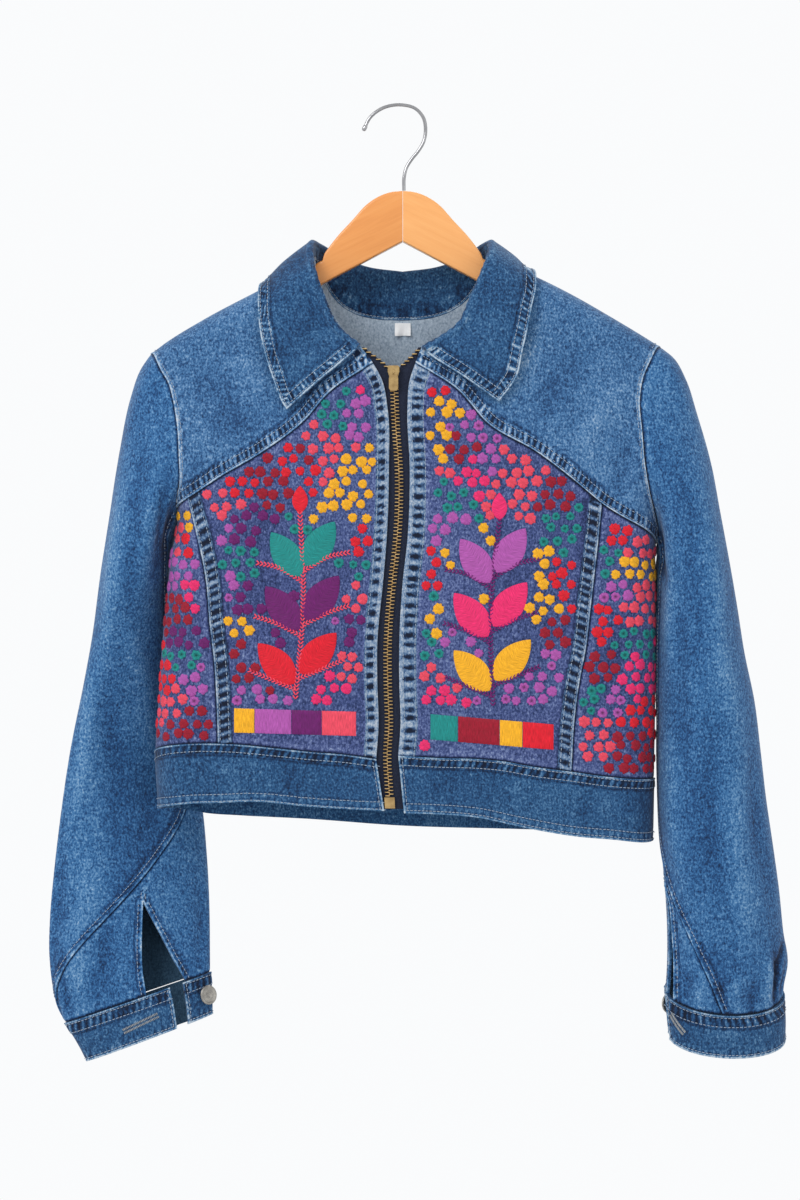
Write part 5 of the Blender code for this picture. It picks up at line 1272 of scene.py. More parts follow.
def build_cuff_fastening(side, place, metal, thread):
    """Tack button on the underlap, and the buttonhole on the overlap with its thread."""
    angle, half = np.array(float(BUTTON_ANGLES[side])), np.array(0.5)
    normal = tube_normals(place, angle, half, SLEEVE_MARGIN)
    seat = place(angle, half) + normal * (BAND_PROUD + SEAM_GAP + BUTTON_LIFT)
    turned = turned_shape(seat, normal, BUTTON_OUTLINE, BUTTON_SIDES)
    button = build_mesh("button_" + WORDS[side], [turned], [metal])
    place_piece(button, nodes=("cuff_button_" + WORDS[side],))

    hole, shares = BUTTONHOLES[side], even(BUTTONHOLE_STITCHES)
    angles = hole["start_angle"] + (hole["end_angle"] - hole["start_angle"]) * shares
    downs = hole["start_share"] + (hole["end_share"] - hole["start_share"]) * shares
    line, outward = place(angles, downs), tube_normals(place, angles, downs, CUFF_MARGIN)
    across = np.cross(outward, unit(np.gradient(line, axis=0)))
    places = []
    for sign in (-1, 1):
        for point, way, out in zip(line, across, outward):
            spot = point + sign * way * BUTTONHOLE_HALF_WIDTH + out * (BAND_PROUD + BUTTONHOLE_LIFT)
            places.append((spot, way, out))
    stitches = build_mesh("buttonhole_" + WORDS[side], [bars(places, *BUTTONHOLE_THREAD)], [thread])
    place_piece(stitches)


# Steps along half the neckline, and the step at which the collar's way along is taken
NECK_STEPS = 14
ALONG_STEP = 0.02
# Shares of the way from the neck seam over the roll to the edge at which the collar's curve is given
CURVE_STOPS = (0.0, 0.18, 0.34, 0.42, 0.5, 0.75, 1.0)


def clear_of_torso(points, lift):
    """Points that lie too near the torso moved straight out, to clear the cloth by a lift."""
    x, y, z = points[..., 0], points[..., 1], points[..., 2]
    middle_z = shoulder_z(x) - SHOULDER_ROUND
    reach = np.where(y > 0, half_depth(x, z, True), half_depth(x, z, False)) + lift
    share = np.maximum(np.hypot(y / reach, (z - middle_z) / (SHOULDER_ROUND + lift)), TINY)
    grow = np.where((z > middle_z) & (share < 1), 1 / share, 1.0)
    upper = np.stack([x, y * grow, middle_z + (z - middle_z) * grow], -1)
    low_y = np.where(np.abs(y) < reach, np.where(y > 0, reach, -reach), y)
    return np.where((z > middle_z)[..., None], upper, np.stack([x, low_y, z], -1))


def half_neckline(side):
    """The neckline from the centre back over the shoulder to the front, by its share of length.

    Each value holds the place, the torso's outward normal and the way into the neck opening.
    """
    back_line = cloth_line(BACK_NECKS[side])
    front_line = cloth_line(FRONT_NECKS[side])
    shares = even(NECK_STEPS)
    back_flat, front_flat = back_line(1 - shares[:-1]), front_line(shares)
    points = np.concatenate([torso_point(back_flat, True), torso_point(front_flat)])
    normals = np.concatenate([torso_normal(back_flat, True), torso_normal(front_flat)])
    lengths = np.concatenate([[0.0], np.cumsum(np.linalg.norm(np.diff(points, axis=0), axis=1))])
    travel = lengths / lengths[-1]
    ways_in = unit(np.cross(normals, np.gradient(points, travel, axis=0)))
    ways_in = ways_in * np.where((ways_in * (NECK_MIDDLE - points)).sum(1) < 0, -1, 1)[:, None]
    shoulder = travel[NECK_STEPS]
    along = np.where(travel <= shoulder, SHOULDER_ALONG * travel / shoulder,
                     SHOULDER_ALONG + (1 - SHOULDER_ALONG) * (travel - shoulder) / (1 - shoulder))
    return profile(np.column_stack([along, points, normals, ways_in]))


def collar_sections():
    """Neckline values and roll and edge points, from the collar's left end (-1) to its right end (1)."""
    tables = {side: profile(COLLAR_SECTIONS[side]) for side in WORDS}
    necklines = {side: half_neckline(side) for side in WORDS}

    def section(place):
        side = LEFT if place < 0 else RIGHT
        row, neckline = tables[side](abs(place)), necklines[side](abs(place))
        return neckline[0:3], neckline[3:6], neckline[6:9], row[0:3], row[3:6]
    return section


def collar_curve(section, place):
    """The collar's outer side at one place along it, from the neck seam (0) over the roll to the edge (1)."""
    neck, torso_out, way_in, roll, edge = section(place)
    roll = roll + torso_out * max(STAND_AT_LEAST - np.linalg.norm(roll - neck), 0.0)
    rise = unit(roll - neck)
    along = section(min(place + ALONG_STEP, 1.0))[3] - section(max(place - ALONG_STEP, -1.0))[3]
    outward = unit(np.cross(rise, along))
    fold = COLLAR_FOLD_WIDTH
    neck_in = neck + way_in * NECK_SEAM_GAP + torso_out * NECK_STEP
    middle = (roll + outward * fold + edge) / 2 + torso_out * COLLAR_BULGE
    controls = [
        neck_in, (neck_in + roll) / 2, roll - rise * 0.6, roll + outward * fold / 2 + rise * 1.8,
        roll + outward * fold - rise * 0.6, middle, edge,
    ]
    return profile(np.column_stack([CURVE_STOPS, np.array(controls)])), torso_out


COLLAR_BAND = {"kind": felled_seam, "width": 10.8, "rows": (2.4, 9.0), "pitch": 4.8, "pucker": 0.75,
               "lift": 0.3, "band_tone": 0.05}
NECK_BAND = {"kind": felled_seam, "width": 12.0, "rows": (2.0,), "pitch": 8.0, "pucker": 0.22, "lift": 0.1,
             "band_tone": -0.08}
COLLAR_LENGTH = 460.0
COLLAR_COLUMNS = 210
# Shares of the way from the neck seam to the edge at which the fold and the leaf start, and rows of each part
FOLD_STARTS, LEAF_STARTS = 0.34, 0.5
# From this share on, the collar is pushed clear of the torso
PUSH_STARTS, PUSH_LENGTH = 0.44, 0.1
STAND_STOPS = (0.7, 1.5, 2.5, 4.0, 6.0)
STAND_HEIGHT = 30.0
STAND_ROWS, FOLD_ROWS, LEAF_ROWS = 8, 10, 30
SEAM_ROWS = 4
# Wear: along the fold, and in broad patches on the leaf, each with its strength and pitch
FOLD_WEAR, FOLD_WEAR_PITCH = 0.22, 16.0
LEAF_WEAR, LEAF_WEAR_PITCH = 0.10, 55.0
# Added to places along a piece where a wave needs a start above zero
WAVE_START = 300
# Seeds of the collar's waves: its edge band, neck band, fold and leaf
EDGE_SEED, NECK_SEED, FOLD_SEED, LEAF_SEED = 700, 710, 720, 730


def build_collar(denim):
    """Collar: the stand rises from the neck seam, folds over and falls to its edge."""
    section = collar_sections()
    along = -1 + 2 * run([COLLAR_LENGTH], HEM_STOPS, HEM_STOPS, COLLAR_COLUMNS)[0]
    stand = run([STAND_HEIGHT], STAND_STOPS, (), STAND_ROWS)[0] * FOLD_STARTS
    fold = FOLD_STARTS + (LEAF_STARTS - FOLD_STARTS) * even(FOLD_ROWS)[1:]
    points, outs = [], []
    for place in along:
        curve, torso_out = collar_curve(section, place)
        leaf_length = length_of(curve(LEAF_STARTS + (1 - LEAF_STARTS) * even(12)))
        leaf = LEAF_STARTS + (1 - LEAF_STARTS) * run([leaf_length], (), HEM_STOPS, LEAF_ROWS)[0][1:]
        shares = np.concatenate([stand, fold, leaf])
        line = curve(shares)
        lift = COLLAR_LIFT + COLLAR_EDGE_LIFT * ease((shares - LEAF_STARTS) * 2)
        push = ease((shares - PUSH_STARTS) / PUSH_LENGTH) * (shares > PUSH_STARTS)
        points.append(line + (clear_of_torso(line, lift) - line) * push[:, None])
        outs.append(torso_out)
    points = np.stack(points, axis=1)
    normals = unit(np.cross(np.gradient(points, axis=1), np.gradient(points, axis=0)))
    outs, rows = np.array(outs)[None, :, :], np.arange(len(points))[:, None]
    into = np.maximum((normals * outs).sum(-1, keepdims=True), 0.0) * (rows < SEAM_ROWS)[..., None]
    normals = unit(normals - into * outs)
    leaf_row = len(stand) + len(fold)
    edge_line = np.concatenate([points[leaf_row:, 0], points[-1, 1:-1], points[leaf_row:, -1][::-1]])
    on_stand, on_leaf = rows < len(stand), rows >= leaf_row - SEAM_ROWS
    edge_band = on_line(COLLAR_BAND, edge_line, EDGE_SEED)
    neck_band = on_line(NECK_BAND, points[0], NECK_SEED)
    height, wear_and_shading, _ = seam_fields(points, normals, 0.0, [edge_band], "collar")
    neck_height, neck_wear_and_shading, _ = seam_fields(points, normals, 0.0, [neck_band], "collar")
    height = height * on_leaf + neck_height * on_stand
    travel = along[None, :] * COLLAR_LENGTH / 2 + WAVE_START
    uneven = 0.6 + 0.4 * ripple(travel, FOLD_WEAR_PITCH, FOLD_SEED)
    fold_line = FOLD_WEAR * bell(rows - leaf_row + 5, 3.0) * uneven
    patches = LEAF_WEAR * ripple(travel, LEAF_WEAR_PITCH, LEAF_SEED) * on_leaf
    wear_and_shading = wear_and_shading * on_leaf + neck_wear_and_shading * on_stand + fold_line + patches
    outer = points + normals * height[..., None]
    corners, faces, _ = shell_mesh(outer, points - normals * COLLAR_WALL)
    cloth_piece("collar", [plain_part(corners, faces)], denim, outer_corner_values(wear_and_shading), held="folded")


# Care label: height of its top, its wall, and the depth of its curl
LABEL_TOP = -187.0
LABEL_WALL = 0.6
LABEL_CURL = 2.4


def build_label(white):
    """Care label, left blank, which hangs inside the back neck."""
    u, v = np.meshgrid(even(14), even(16))
    top, low = (cloth_line([(-LABEL_WIDTH / 2, z), (LABEL_WIDTH / 2, z)])
                for z in (LABEL_TOP, LABEL_TOP - LABEL_HEIGHT))
    flat = coons(top, low, straight(top(0), low(0)), straight(top(1), low(1)))(u, v)
    normals = torso_normal(flat, True)
    fold = LABEL_CURL * bell(v - 1, 0.5) * (0.5 + 0.5 * np.cos(u * 5.0)) + 0.5 * np.sin(u * 9) * v
    points = torso_point(flat, True) - normals * (WALL + SEAM_GAP + fold)[..., None]
    corners, faces, _ = shell_mesh(points, points - normals * LABEL_WALL)
    thing = build_mesh("blank_label", [plain_part(corners, faces)], [white])
    place_piece(thing, nodes=("care_label",))
    declare_cloth(thing, "care_label")


# Zip: where the fronts' edges end below the hem, the tapes' levels, and the teeth
FRONT_EDGE_ENDS = {LEFT: (-16, -614), RIGHT: (1, -617)}
TAPE_IN = WALL + SEAM_GAP + 0.9
TAPE_TOP = -213.0
TAPE_OPENS = SLIDER_Z - 4
TAPE_ROWS, TAPE_COLUMNS = 160, 10
TAPE_OFF_EDGE = 3.0
OPENING_POWER = 0.8
CORD_HEIGHT, CORD_PLACE, CORD_WIDTH = 0.5, 1.2, 0.9
WEAVE_PITCH, WEAVE_SEED, WEAVE_START = 2.4, 800, 700
TOOTH_PITCH = 3.1
TOOTH_HEIGHT = 1.25
TOOTH_REACH = 4.1
TOOTH_OVERLAP = 0.9
TOOTH_THICKNESS = 2.0
TOOTH_BEVEL = 0.28
TOOTH_TAPER = 0.8
TOOTH_SUNK, TOOTH_TIP, TOOTH_SHOULDER = 0.1, 0.6, 0.4
SLIDER_HIDES = 5.0


def build_zip(tape_cloth, brass):
    """Tapes that part above the slider, with the teeth along them."""
    edges = {side: profile([(z, x) for x, z in FRONT_EDGES[side] + [FRONT_EDGE_ENDS[side]]])
             for side in WORDS}
    chain = profile([(z, x) for x, z in ZIP_CHAIN_LINE])

    def inner_x(z, side):
        middle = chain(np.minimum(z, SLIDER_Z))[..., 0] + side * 0.3
        opened = ease((z - TAPE_OPENS) / (TAPE_TOP - TAPE_OPENS)) ** OPENING_POWER
        return middle + (edges[side](z)[..., 0] - side * TAPE_OFF_EDGE - middle) * opened

    teeth = []
    for side, word in WORDS.items():
        z = TAPE_TOP + (ZIP_TAPE_BOTTOM - TAPE_TOP) * even(TAPE_ROWS)
        inner, outer = inner_x(z, side), edges[side](z)[..., 0] + side * ZIP_TAPE_UNDER_FRONT
        share = even(TAPE_COLUMNS)[None, :]
        x = inner[:, None] + (outer - inner)[:, None] * share
        flat = np.stack(np.broadcast_arrays(x, z[:, None]), -1)
        points, normals = torso_point(flat), torso_normal(flat)
        cord = CORD_HEIGHT * bell(share * np.abs(outer - inner)[:, None] - CORD_PLACE, CORD_WIDTH)
        surface = points + normals * (cord - TAPE_IN)[..., None]
        corners, faces, _ = shell_mesh(surface, points - normals * (TAPE_IN + ZIP_TAPE_THICKNESS))
        weave = 0.5 * ripple(z[:, None] + WEAVE_START + 0 * x, WEAVE_PITCH, WEAVE_SEED)
        tape = build_mesh("tape_" + word, [plain_part(corners, faces)], [tape_cloth], outer_corner_values(weave))
        place_piece(tape, nodes=("zip_tape_" + word,))
        declare_cloth(tape, "zip_tape")
        bottom, top = ZIP_CHAIN_BOTTOM + 1.0, TAPE_TOP - 1.0
        for place in np.arange(bottom + (0 if side < 0 else TOOTH_PITCH / 2), top, TOOTH_PITCH):
            if abs(place - SLIDER_Z) >= SLIDER_HIDES:
                teeth.append(zip_tooth(np.array([inner_x(place, side), place]), side))
    place_piece(build_mesh("zip_teeth", teeth, [brass]), nodes=("zip_chain",))


def zip_tooth(flat, side):
    """One moulded tooth: a block with a smaller front, clamped on the tape's edge."""
    ahead = flat + np.array([0.0, 1.0])
    middle, out = torso_point(flat), torso_normal(flat)
    up = unit(torso_point(ahead) - middle)
    across = unit(np.cross(up, out)) * (1 if np.cross(up, out)[0] * side > 0 else -1)
    back_level, front_level = -TAPE_IN + TOOTH_SUNK, -TAPE_IN + TOOTH_THICKNESS
    low, high, half = -TOOTH_OVERLAP, TOOTH_REACH - TOOTH_TIP, TOOTH_HEIGHT / 2
    corners = []
    levels = ((back_level, 0.0), (front_level - TOOTH_SHOULDER, 0.0), (front_level, TOOTH_BEVEL))
    for level, inset in levels:
        for a, b in ((low + inset, -half + inset), (high - inset, -half * TOOTH_TAPER + inset),
                     (high - inset, half * TOOTH_TAPER - inset), (low + inset, half - inset)):
            corners.append(middle + across * a + up * b + out * level)
    faces = np.concatenate([ring_faces(3, 4), [[3, 2, 1, 0], [8, 9, 10, 11]]])
    return plain_part(np.array(corners), faces[:, ::-1] if side < 0 else faces)


def hanger_rest_z(x):
    """Height at which the jacket's shoulder rests on the hanger."""
    slope = (shoulder_z(x + 1) - shoulder_z(x - 1)) / 2
    return shoulder_z(x) - (WALL + SEAM_GAP) * np.sqrt(1 + slope * slope) - HANGER_CLEAR


# Hanger arm: steps along it, stretch where its two tops blend, its rounded edges, and how its tip narrows
ARM_STEPS = 110
ARM_BLEND = 14.0
TIP_LENGTH = 10.0
TIP_DROP = 3.5
TIP_NARROWING = 0.25
CREST_SHARE = 0.35
TOP_ROUND_ACROSS, TOP_ROUND_DOWN = 2.2, 3.0
LOW_ROUND = 1.6

# Hook wire, and the rounded end of it: radius and height past the wire's end
HOOK_STEPS = 140
HOOK_SIDES = 8
HOOK_TIP_OUTLINE = [
    (0.05, -4.0), (1.6, -3.8), (1.95, -3.2), (2.05, -1.6), (2.0, -0.4), (1.75, 0.5), (1.2, 1.15), (0.5, 1.4),
    (0.05, 1.45),
]
HOOK_TIP_SIDES = 32


def hanger_arm(side):
    """Corners, faces and end caps of one arm of the hanger."""
    neck = profile(HANGER_NECK)
    distance = SEAM_GAP / 2 + (HANGER_END - SEAM_GAP / 2) * even(ARM_STEPS)
    spread = (distance - HANGER_NECK_ENDS) / (HANGER_END - HANGER_NECK_ENDS)
    height = HANGER_ARM_HEIGHT + (HANGER_TIP_HEIGHT - HANGER_ARM_HEIGHT) * np.maximum(spread, 0)
    x = side * distance
    rest = hanger_rest_z(x)
    near_hook = distance <= HANGER_NECK_ENDS
    tip = ease((distance - HANGER_END + TIP_LENGTH) / TIP_LENGTH)
    top = np.where(near_hook, neck(distance)[..., 0], rest)
    top = np.where(distance > HANGER_NECK_ENDS - ARM_BLEND, np.minimum(top, rest), top) - TIP_DROP * tip
    bottom = np.where(near_hook, neck(distance)[..., 1], rest - height) + TIP_DROP * tip
    half = HANGER_HALF_THICKNESS * (1 - TIP_NARROWING * tip)
    outline = [(half * CREST_SHARE, top)]
    for turn in np.radians([70, 50, 30, 10, 0]):
        outline.append((half - TOP_ROUND_ACROSS * (1 - math.cos(turn)),
                        top - TOP_ROUND_DOWN * (1 - math.sin(turn))))
    for turn in np.radians([0, 30, 60, 90]):
        outline.append((half - LOW_ROUND * (1 - math.cos(turn)), bottom + LOW_ROUND * (1 - math.sin(turn))))
    ring = outline + [(-y, z) for y, z in reversed(outline)]
    points = np.stack([np.stack([x, y, z], -1) for y, z in ring], axis=1)
    rows, columns = points.shape[:2]
    faces = ring_faces(rows, columns)
    first, last = list(range(columns)), list(range((rows - 1) * columns, rows * columns))
    if side > 0:
        return plain_part(points.reshape(-1, 3), faces[:, ::-1]), (first, last[::-1])
    return plain_part(points.reshape(-1, 3), faces), (first[::-1], last)


def build_hanger(woods, steel):
    """Two wooden arms, and the wire hook with its rounded end."""
    for (side, word), wood in zip(WORDS.items(), woods):
        part, caps = hanger_arm(side)
        arm = build_mesh("arm_" + word, [part], [wood], caps=caps)
        place_piece(arm, nodes=("hanger_arm_" + word,))
    line = smooth_curve(HOOK_LINE)
    curve = bpy.data.curves.new("hook_wire", "CURVE")
    curve.dimensions = "3D"
    curve.bevel_depth = HOOK_WIRE_RADIUS * MM
    curve.bevel_resolution = HOOK_SIDES
    curve.use_fill_caps = True
    spline = curve.splines.new("POLY")
    spline.points.add(HOOK_STEPS)
    for point, (x, z) in zip(spline.points, line(even(HOOK_STEPS))):
        point.co = (x * MM, 0.0, z * MM, 1.0)
    curve.materials.append(steel)
    hook = bpy.data.objects.new("hook_wire", curve)
    bpy.context.collection.objects.link(hook)
    place_piece(hook, nodes=("hook",))
    start, after = (np.array([x, 0.0, z]) for x, z in line(np.array([0.0, 0.01])))
    tip = turned_shape(start, unit(start - after), HOOK_TIP_OUTLINE, HOOK_TIP_SIDES)
    place_piece(build_mesh("hook_tip", [tip], [steel]))


# Thread colours of the embroidery, as linear red, green and blue
THREADS = {
    "red": (0.72, 0.008, 0.024), "coral": (0.82, 0.068, 0.115), "pink": (0.82, 0.024, 0.150),
    "crimson": (0.32, 0.004, 0.022), "purple": (0.140, 0.008, 0.130), "orchid": (0.42, 0.090, 0.390),
    "teal": (0.008, 0.245, 0.230), "yellow": (0.90, 0.430, 0.015),
}

# Middles of the patches of one colour among the dots, seen from the front: x, z, colour
DOT_PATCHES = [
    (-31, -240, "pink"), (-60, -267, "teal"), (-36, -275, "orchid"), (-76, -291, "coral"),
    (-89, -296, "crimson"), (-100, -309, "red"), (-65, -302, "coral"), (-36, -320, "yellow"),
    (-33, -351, "yellow"), (-139, -335, "red"), (-150, -350, "coral"), (-118, -325, "crimson"),
    (-155, -368, "orchid"), (-136, -366, "purple"), (-33, -378, "red"), (-41, -407, "teal"),
    (-144, -400, "teal"), (-33, -428, "coral"), (-157, -420, "orchid"), (-147, -459, "yellow"),
    (-38, -454, "purple"), (-36, -489, "coral"), (-36, -519, "pink"), (-144, -486, "crimson"),
    (-100, -395, "teal"), (-96, -445, "purple"), (-72, -398, "teal"), (-146, -520, "orchid"),
    (-130, -430, "purple"), (-60, -455, "orchid"), (30, -246, "red"), (38, -268, "yellow"),
    (27, -298, "yellow"), (60, -285, "orchid"), (78, -309, "orchid"), (50, -300, "crimson"),
    (91, -312, "coral"), (115, -318, "coral"), (25, -322, "coral"), (58, -326, "pink"),
    (130, -336, "crimson"), (43, -340, "teal"), (27, -362, "orchid"), (96, -342, "coral"),
    (143, -372, "teal"), (25, -402, "red"), (54, -398, "yellow"), (112, -404, "yellow"), (138, -412, "red"),
    (17, -441, "teal"), (33, -452, "yellow"), (124, -436, "yellow"), (136, -464, "crimson"),
    (20, -475, "teal"), (46, -470, "orchid"), (126, -486, "orchid"), (15, -497, "coral"), (18, -520, "pink"),
    (84, -398, "yellow"), (70, -440, "yellow"), (120, -515, "orchid"), (140, -530, "coral"),
    (-190, -362, "yellow"), (-184, -384, "red"), (-196, -402, "orchid"), (-184, -424, "pink"),
    (-197, -442, "crimson"), (-186, -462, "purple"), (-196, -484, "teal"), (-183, -502, "orchid"),
    (-197, -520, "coral"), (-184, -540, "crimson"), (-206, -380, "coral"), (-206, -500, "red"),
    (184, -372, "red"), (200, -386, "coral"), (178, -398, "teal"), (200, -408, "yellow"),
    (182, -424, "orchid"), (206, -440, "coral"), (176, -452, "red"), (196, -468, "teal"),
    (176, -490, "crimson"), (206, -500, "pink"), (184, -520, "orchid"), (206, -534, "red"),
    (172, -548, "coral"), (196, -562, "crimson"), (164, -520, "teal"),
]
DOT_PITCH = 11.4
DOT_RADIUS = 4.7

# Sprigs of leaves, generic in their drawing. Each has its stem's foot and top, and rows of leaf pairs:
# share of the stem where they start, their length, width, spread angle and colour.
SPRIGS = {
    LEFT: {
        "foot": (-93, -518), "top": (-89, -352), "sway": 5.0, "stem": "coral",
        "pairs": [(0.08, 47, 25, 42, "red"), (0.36, 48, 26, 38, "purple"), (0.64, 46, 25, 34, "teal")],
        "bud": (9.0, "red"),
    },
    RIGHT: {
        "foot": (78, -524), "top": (84, -358), "sway": -5.0, "stem": "purple",
        "pairs": [(0.08, 47, 25, 42, "yellow"), (0.36, 48, 26, 38, "pink"), (0.64, 46, 25, 34, "orchid")],
        "bud": (9.0, "pink"),
    },
}
STAGGER = 0.055

# Satin blocks under the sprigs: x of their edges, their top at the row's two ends, height and colours
SATIN_BLOCKS = {
    LEFT: {
        "edges": (-146, -128, -96, -70, -40), "top": (-526, -529), "height": 21,
        "colours": ("yellow", "orchid", "purple", "coral"),
    },
    RIGHT: {
        "edges": (24, 48, 84, 104, 131), "top": (-531, -540), "height": 22,
        "colours": ("teal", "crimson", "yellow", "red"),
    },
}

# Raised thread: how far a patch goes into the cloth, its height at the rim and over it, and what rounds it
PATCH_SINK = 0.3
LEAF_RIM, LEAF_SWELL, LEAF_ROUNDS_OVER = 0.45, 0.95, 3.0
LEAF_SLANT = 0.55
BLOCK_RIM, BLOCK_SWELL, BLOCK_ROUNDS_OVER = 0.3, 0.9, 2.2
BLOCK_GAP, RAGGED = 0.5, 0.45
# Rings of a dot from its middle to its edge: their shares of the radius, and heights of full and ringed dots
DOT_RINGS = np.array([0.02, 0.26, 0.58, 0.86, 1.0])
DOT_HEIGHTS = {False: np.array([0.98, 1.0, 1.0, 0.62, -0.4]), True: np.array([0.15, 0.35, 1.0, 0.7, -0.4])}
# How dark a ringed dot's thread colour is, ring by ring: painted shade in its sunken middle.
RINGED_PAINTED_SHADE = np.array([0.25, 0.65, 1.0, 1.0, 1.0])
DOT_SPOKES = 18
SPRIG_LEAF_GRID, BLOCK_GRID = (22, 11), (24, 12)
DOT_LIFT = 0.15
RINGED_SHARE = 0.3
# Chain stitch: spacing and half width of the stem's and the veins' stitches, their length, radius and sink
STEM_CHAIN, VEIN_CHAIN = (3.4, 1.15), (3.2, 0.95)
CHAIN_THREAD = (3.6, 0.6, 0.4)
CHAIN_LIFT = 0.55
BUD_STARTS, BUD_LENGTH, BUD_WIDTH = 0.97, 2.6, 1.5
# Side twigs: how far under their leaf they start, how much wider they spread, their reach and their bend
TWIG_UNDER, TWIG_SPREAD, TWIG_REACH, TWIG_BEND = 0.03, 26, 0.95, 0.6
TWIG_ACROSS, TWIG_UP = 0.92, 0.38
# Room that dots leave around leaves, the stem, the bud, twigs and blocks, and the most they may overlap
LEAF_ROOM, STEM_ROOM, BUD_ROOM, TWIG_ROOM = 2.6, 5.0, 8.0, 4.6
BLOCK_ROOM, ROOM_OVER_BLOCKS, OVERLAP = 5, 6, 1.2
# Room that dots leave at the yoke's seam, the hem, the placket and the side
YOKE_ROOM, HEM_ROOM, PLACKET_ROOM, SIDE_ROOM = 2.0, 1.5, -0.5, 1.0
# Grid of the dots: its counts, where it starts, how close its rows lie, and how uneven it is
DOT_ROWS, DOT_COLUMNS = 40, 24
DOTS_FROM_X, DOTS_FROM_Z = 8, -222
ROW_SHARE = 0.87
UNEVEN_X, UNEVEN_Z = 2.0, 1.8
UNEVEN_RADIUS = (0.84, 1.10)
COLOUR_MIX = (0.78, 1.28)
DOT_SEEDS = {LEFT: 31, RIGHT: 47}
OUTLINE_STEPS = 60


def cloth_rise(flat):
    """How far the front's creases lift the cloth."""
    return crease_heights(flat, FRONT_CREASES[LEFT if flat[..., 0].mean() < 0 else RIGHT])[0]


def smooth_patch(flat, heights):
    """Raised piece of embroidery from its grid in cloth coordinates."""
    points, normals, rise = torso_point(flat), torso_normal(flat), cloth_rise(flat)
    outer = points + normals * (heights + rise)[..., None]
    inner = points + normals * (rise - PATCH_SINK)[..., None]
    return plain_part(*shell_mesh(outer, inner)[:2])


def leaf_grid(base, direction, length, width):
    """A pointed leaf in cloth coordinates: its grid, its heights and its thread coordinates."""
    steps, columns = SPRIG_LEAF_GRID
    t, w = np.meshgrid(even(steps), np.linspace(-1, 1, columns), indexing="ij")
    way = unit(np.array(direction))
    side = np.array([-way[1], way[0]])
    half = width / 2 * np.sin(math.pi * np.clip(t, 0, 1) ** 0.85) ** 0.8 + 0.05
    flat = base + (t * length)[..., None] * way + (w * half)[..., None] * side
    rounding = np.sqrt(np.clip(1 - w ** 2, 0, 1)) * np.clip(half / LEAF_ROUNDS_OVER, 0, 1)
    heights = LEAF_RIM + LEAF_SWELL * rounding
    slant = LEAF_SLANT * np.abs(w * half)
    threads = np.stack([t * length - slant, w * half], -1)
    return flat, heights, threads


def add_embroidery(name, parts, colours, threads, material):
    colours = np.concatenate(colours)
    colours = np.column_stack([colours, np.ones(len(colours))])
    thing = build_mesh(name, parts, [material], colours=colours, threads=np.concatenate(threads))
    place_piece(thing)


def embroider(name, pieces, material, closed=True):
    """One object from patches, each with its grid, heights, thread coordinates and colour."""
    parts, colours, threads = [], [], []
    for flat, heights, thread, colour in pieces:
        corners, faces, numbers = smooth_patch(flat, heights)
        if not closed:
            kept = (heights.shape[0] - 1) * (heights.shape[1] - 1)
            corners, faces, numbers = corners[:heights.size], faces[:kept], numbers[:kept]
        copies = 2 if closed else 1
        parts.append((corners, faces, numbers))
        tones = np.broadcast_to(np.asarray(colour, float), heights.shape + (3,)).reshape(-1, 3)
        colours.append(np.concatenate([tones] * copies))
        threads.append(np.concatenate([thread.reshape(-1, 2)] * copies))
    add_embroidery(name, parts, colours, threads, material)


def dot_patch(middle, radius, lobes, turn, colour, ringed):
    """A sewn dot with a star-like edge, as a grid of rings around its middle."""
    angle = np.linspace(0, 2 * math.pi, DOT_SPOKES + 1)[None, :]
    reach = radius * (1 + 0.14 * np.cos(lobes * angle + turn) + 0.05 * np.cos(3 * angle + 2 * turn))
    across = DOT_RINGS[:, None] * reach
    flat = middle + np.stack([across * np.cos(angle), across * np.sin(angle)], -1)
    heights = DOT_LIFT + DOT_HEIGHTS[ringed][:, None] + 0 * angle
    # Ringed dots: thread colour darkened towards the sunken middle as painted shade.
    shade = RINGED_PAINTED_SHADE if ringed else np.ones(len(DOT_RINGS))
    tones = np.asarray(colour) * shade[:, None, None] * np.ones((1, DOT_SPOKES + 1, 1))
    threads = np.stack([angle * radius * 0.8 + 0 * across, across], -1)
    return flat[::-1], heights[::-1], threads[::-1], tones[::-1]


def sprig_parts(sprig):
    """Leaves of a sprig, its stem's line and the places that its dots keep clear of."""
    foot, top = flatten(*sprig["foot"]), flatten(*sprig["top"])
    stem = smooth_curve([foot, (foot + top) / 2 + np.array([sprig["sway"], 0]), top])
    leaves, keep_clear = [], []
    for share, length, width, spread, colour in sprig["pairs"]:
        for side in (-1, 1):
            base = stem(share + (STAGGER if side > 0 else 0)) + np.array([side * 2.0, 0])
            turn = math.radians(spread)
            direction = np.array([side * math.sin(turn), math.cos(turn)])
            leaves.append((*leaf_grid(base, direction, length, width), THREADS[colour]))
            keep_clear.append((np.array([base, base + direction * length * 0.9]), width / 2 + LEAF_ROOM))
    radius, colour = sprig["bud"]
    bud = stem(BUD_STARTS)
    leaves.append((*leaf_grid(bud, (0.0, 1.0), radius * BUD_LENGTH, radius * BUD_WIDTH), THREADS[colour]))
    keep_clear.append((stem(even(20)), STEM_ROOM))
    keep_clear.append((np.array([bud, bud + np.array([0.0, radius * 2.4])]), BUD_ROOM))
    return leaves, stem, keep_clear


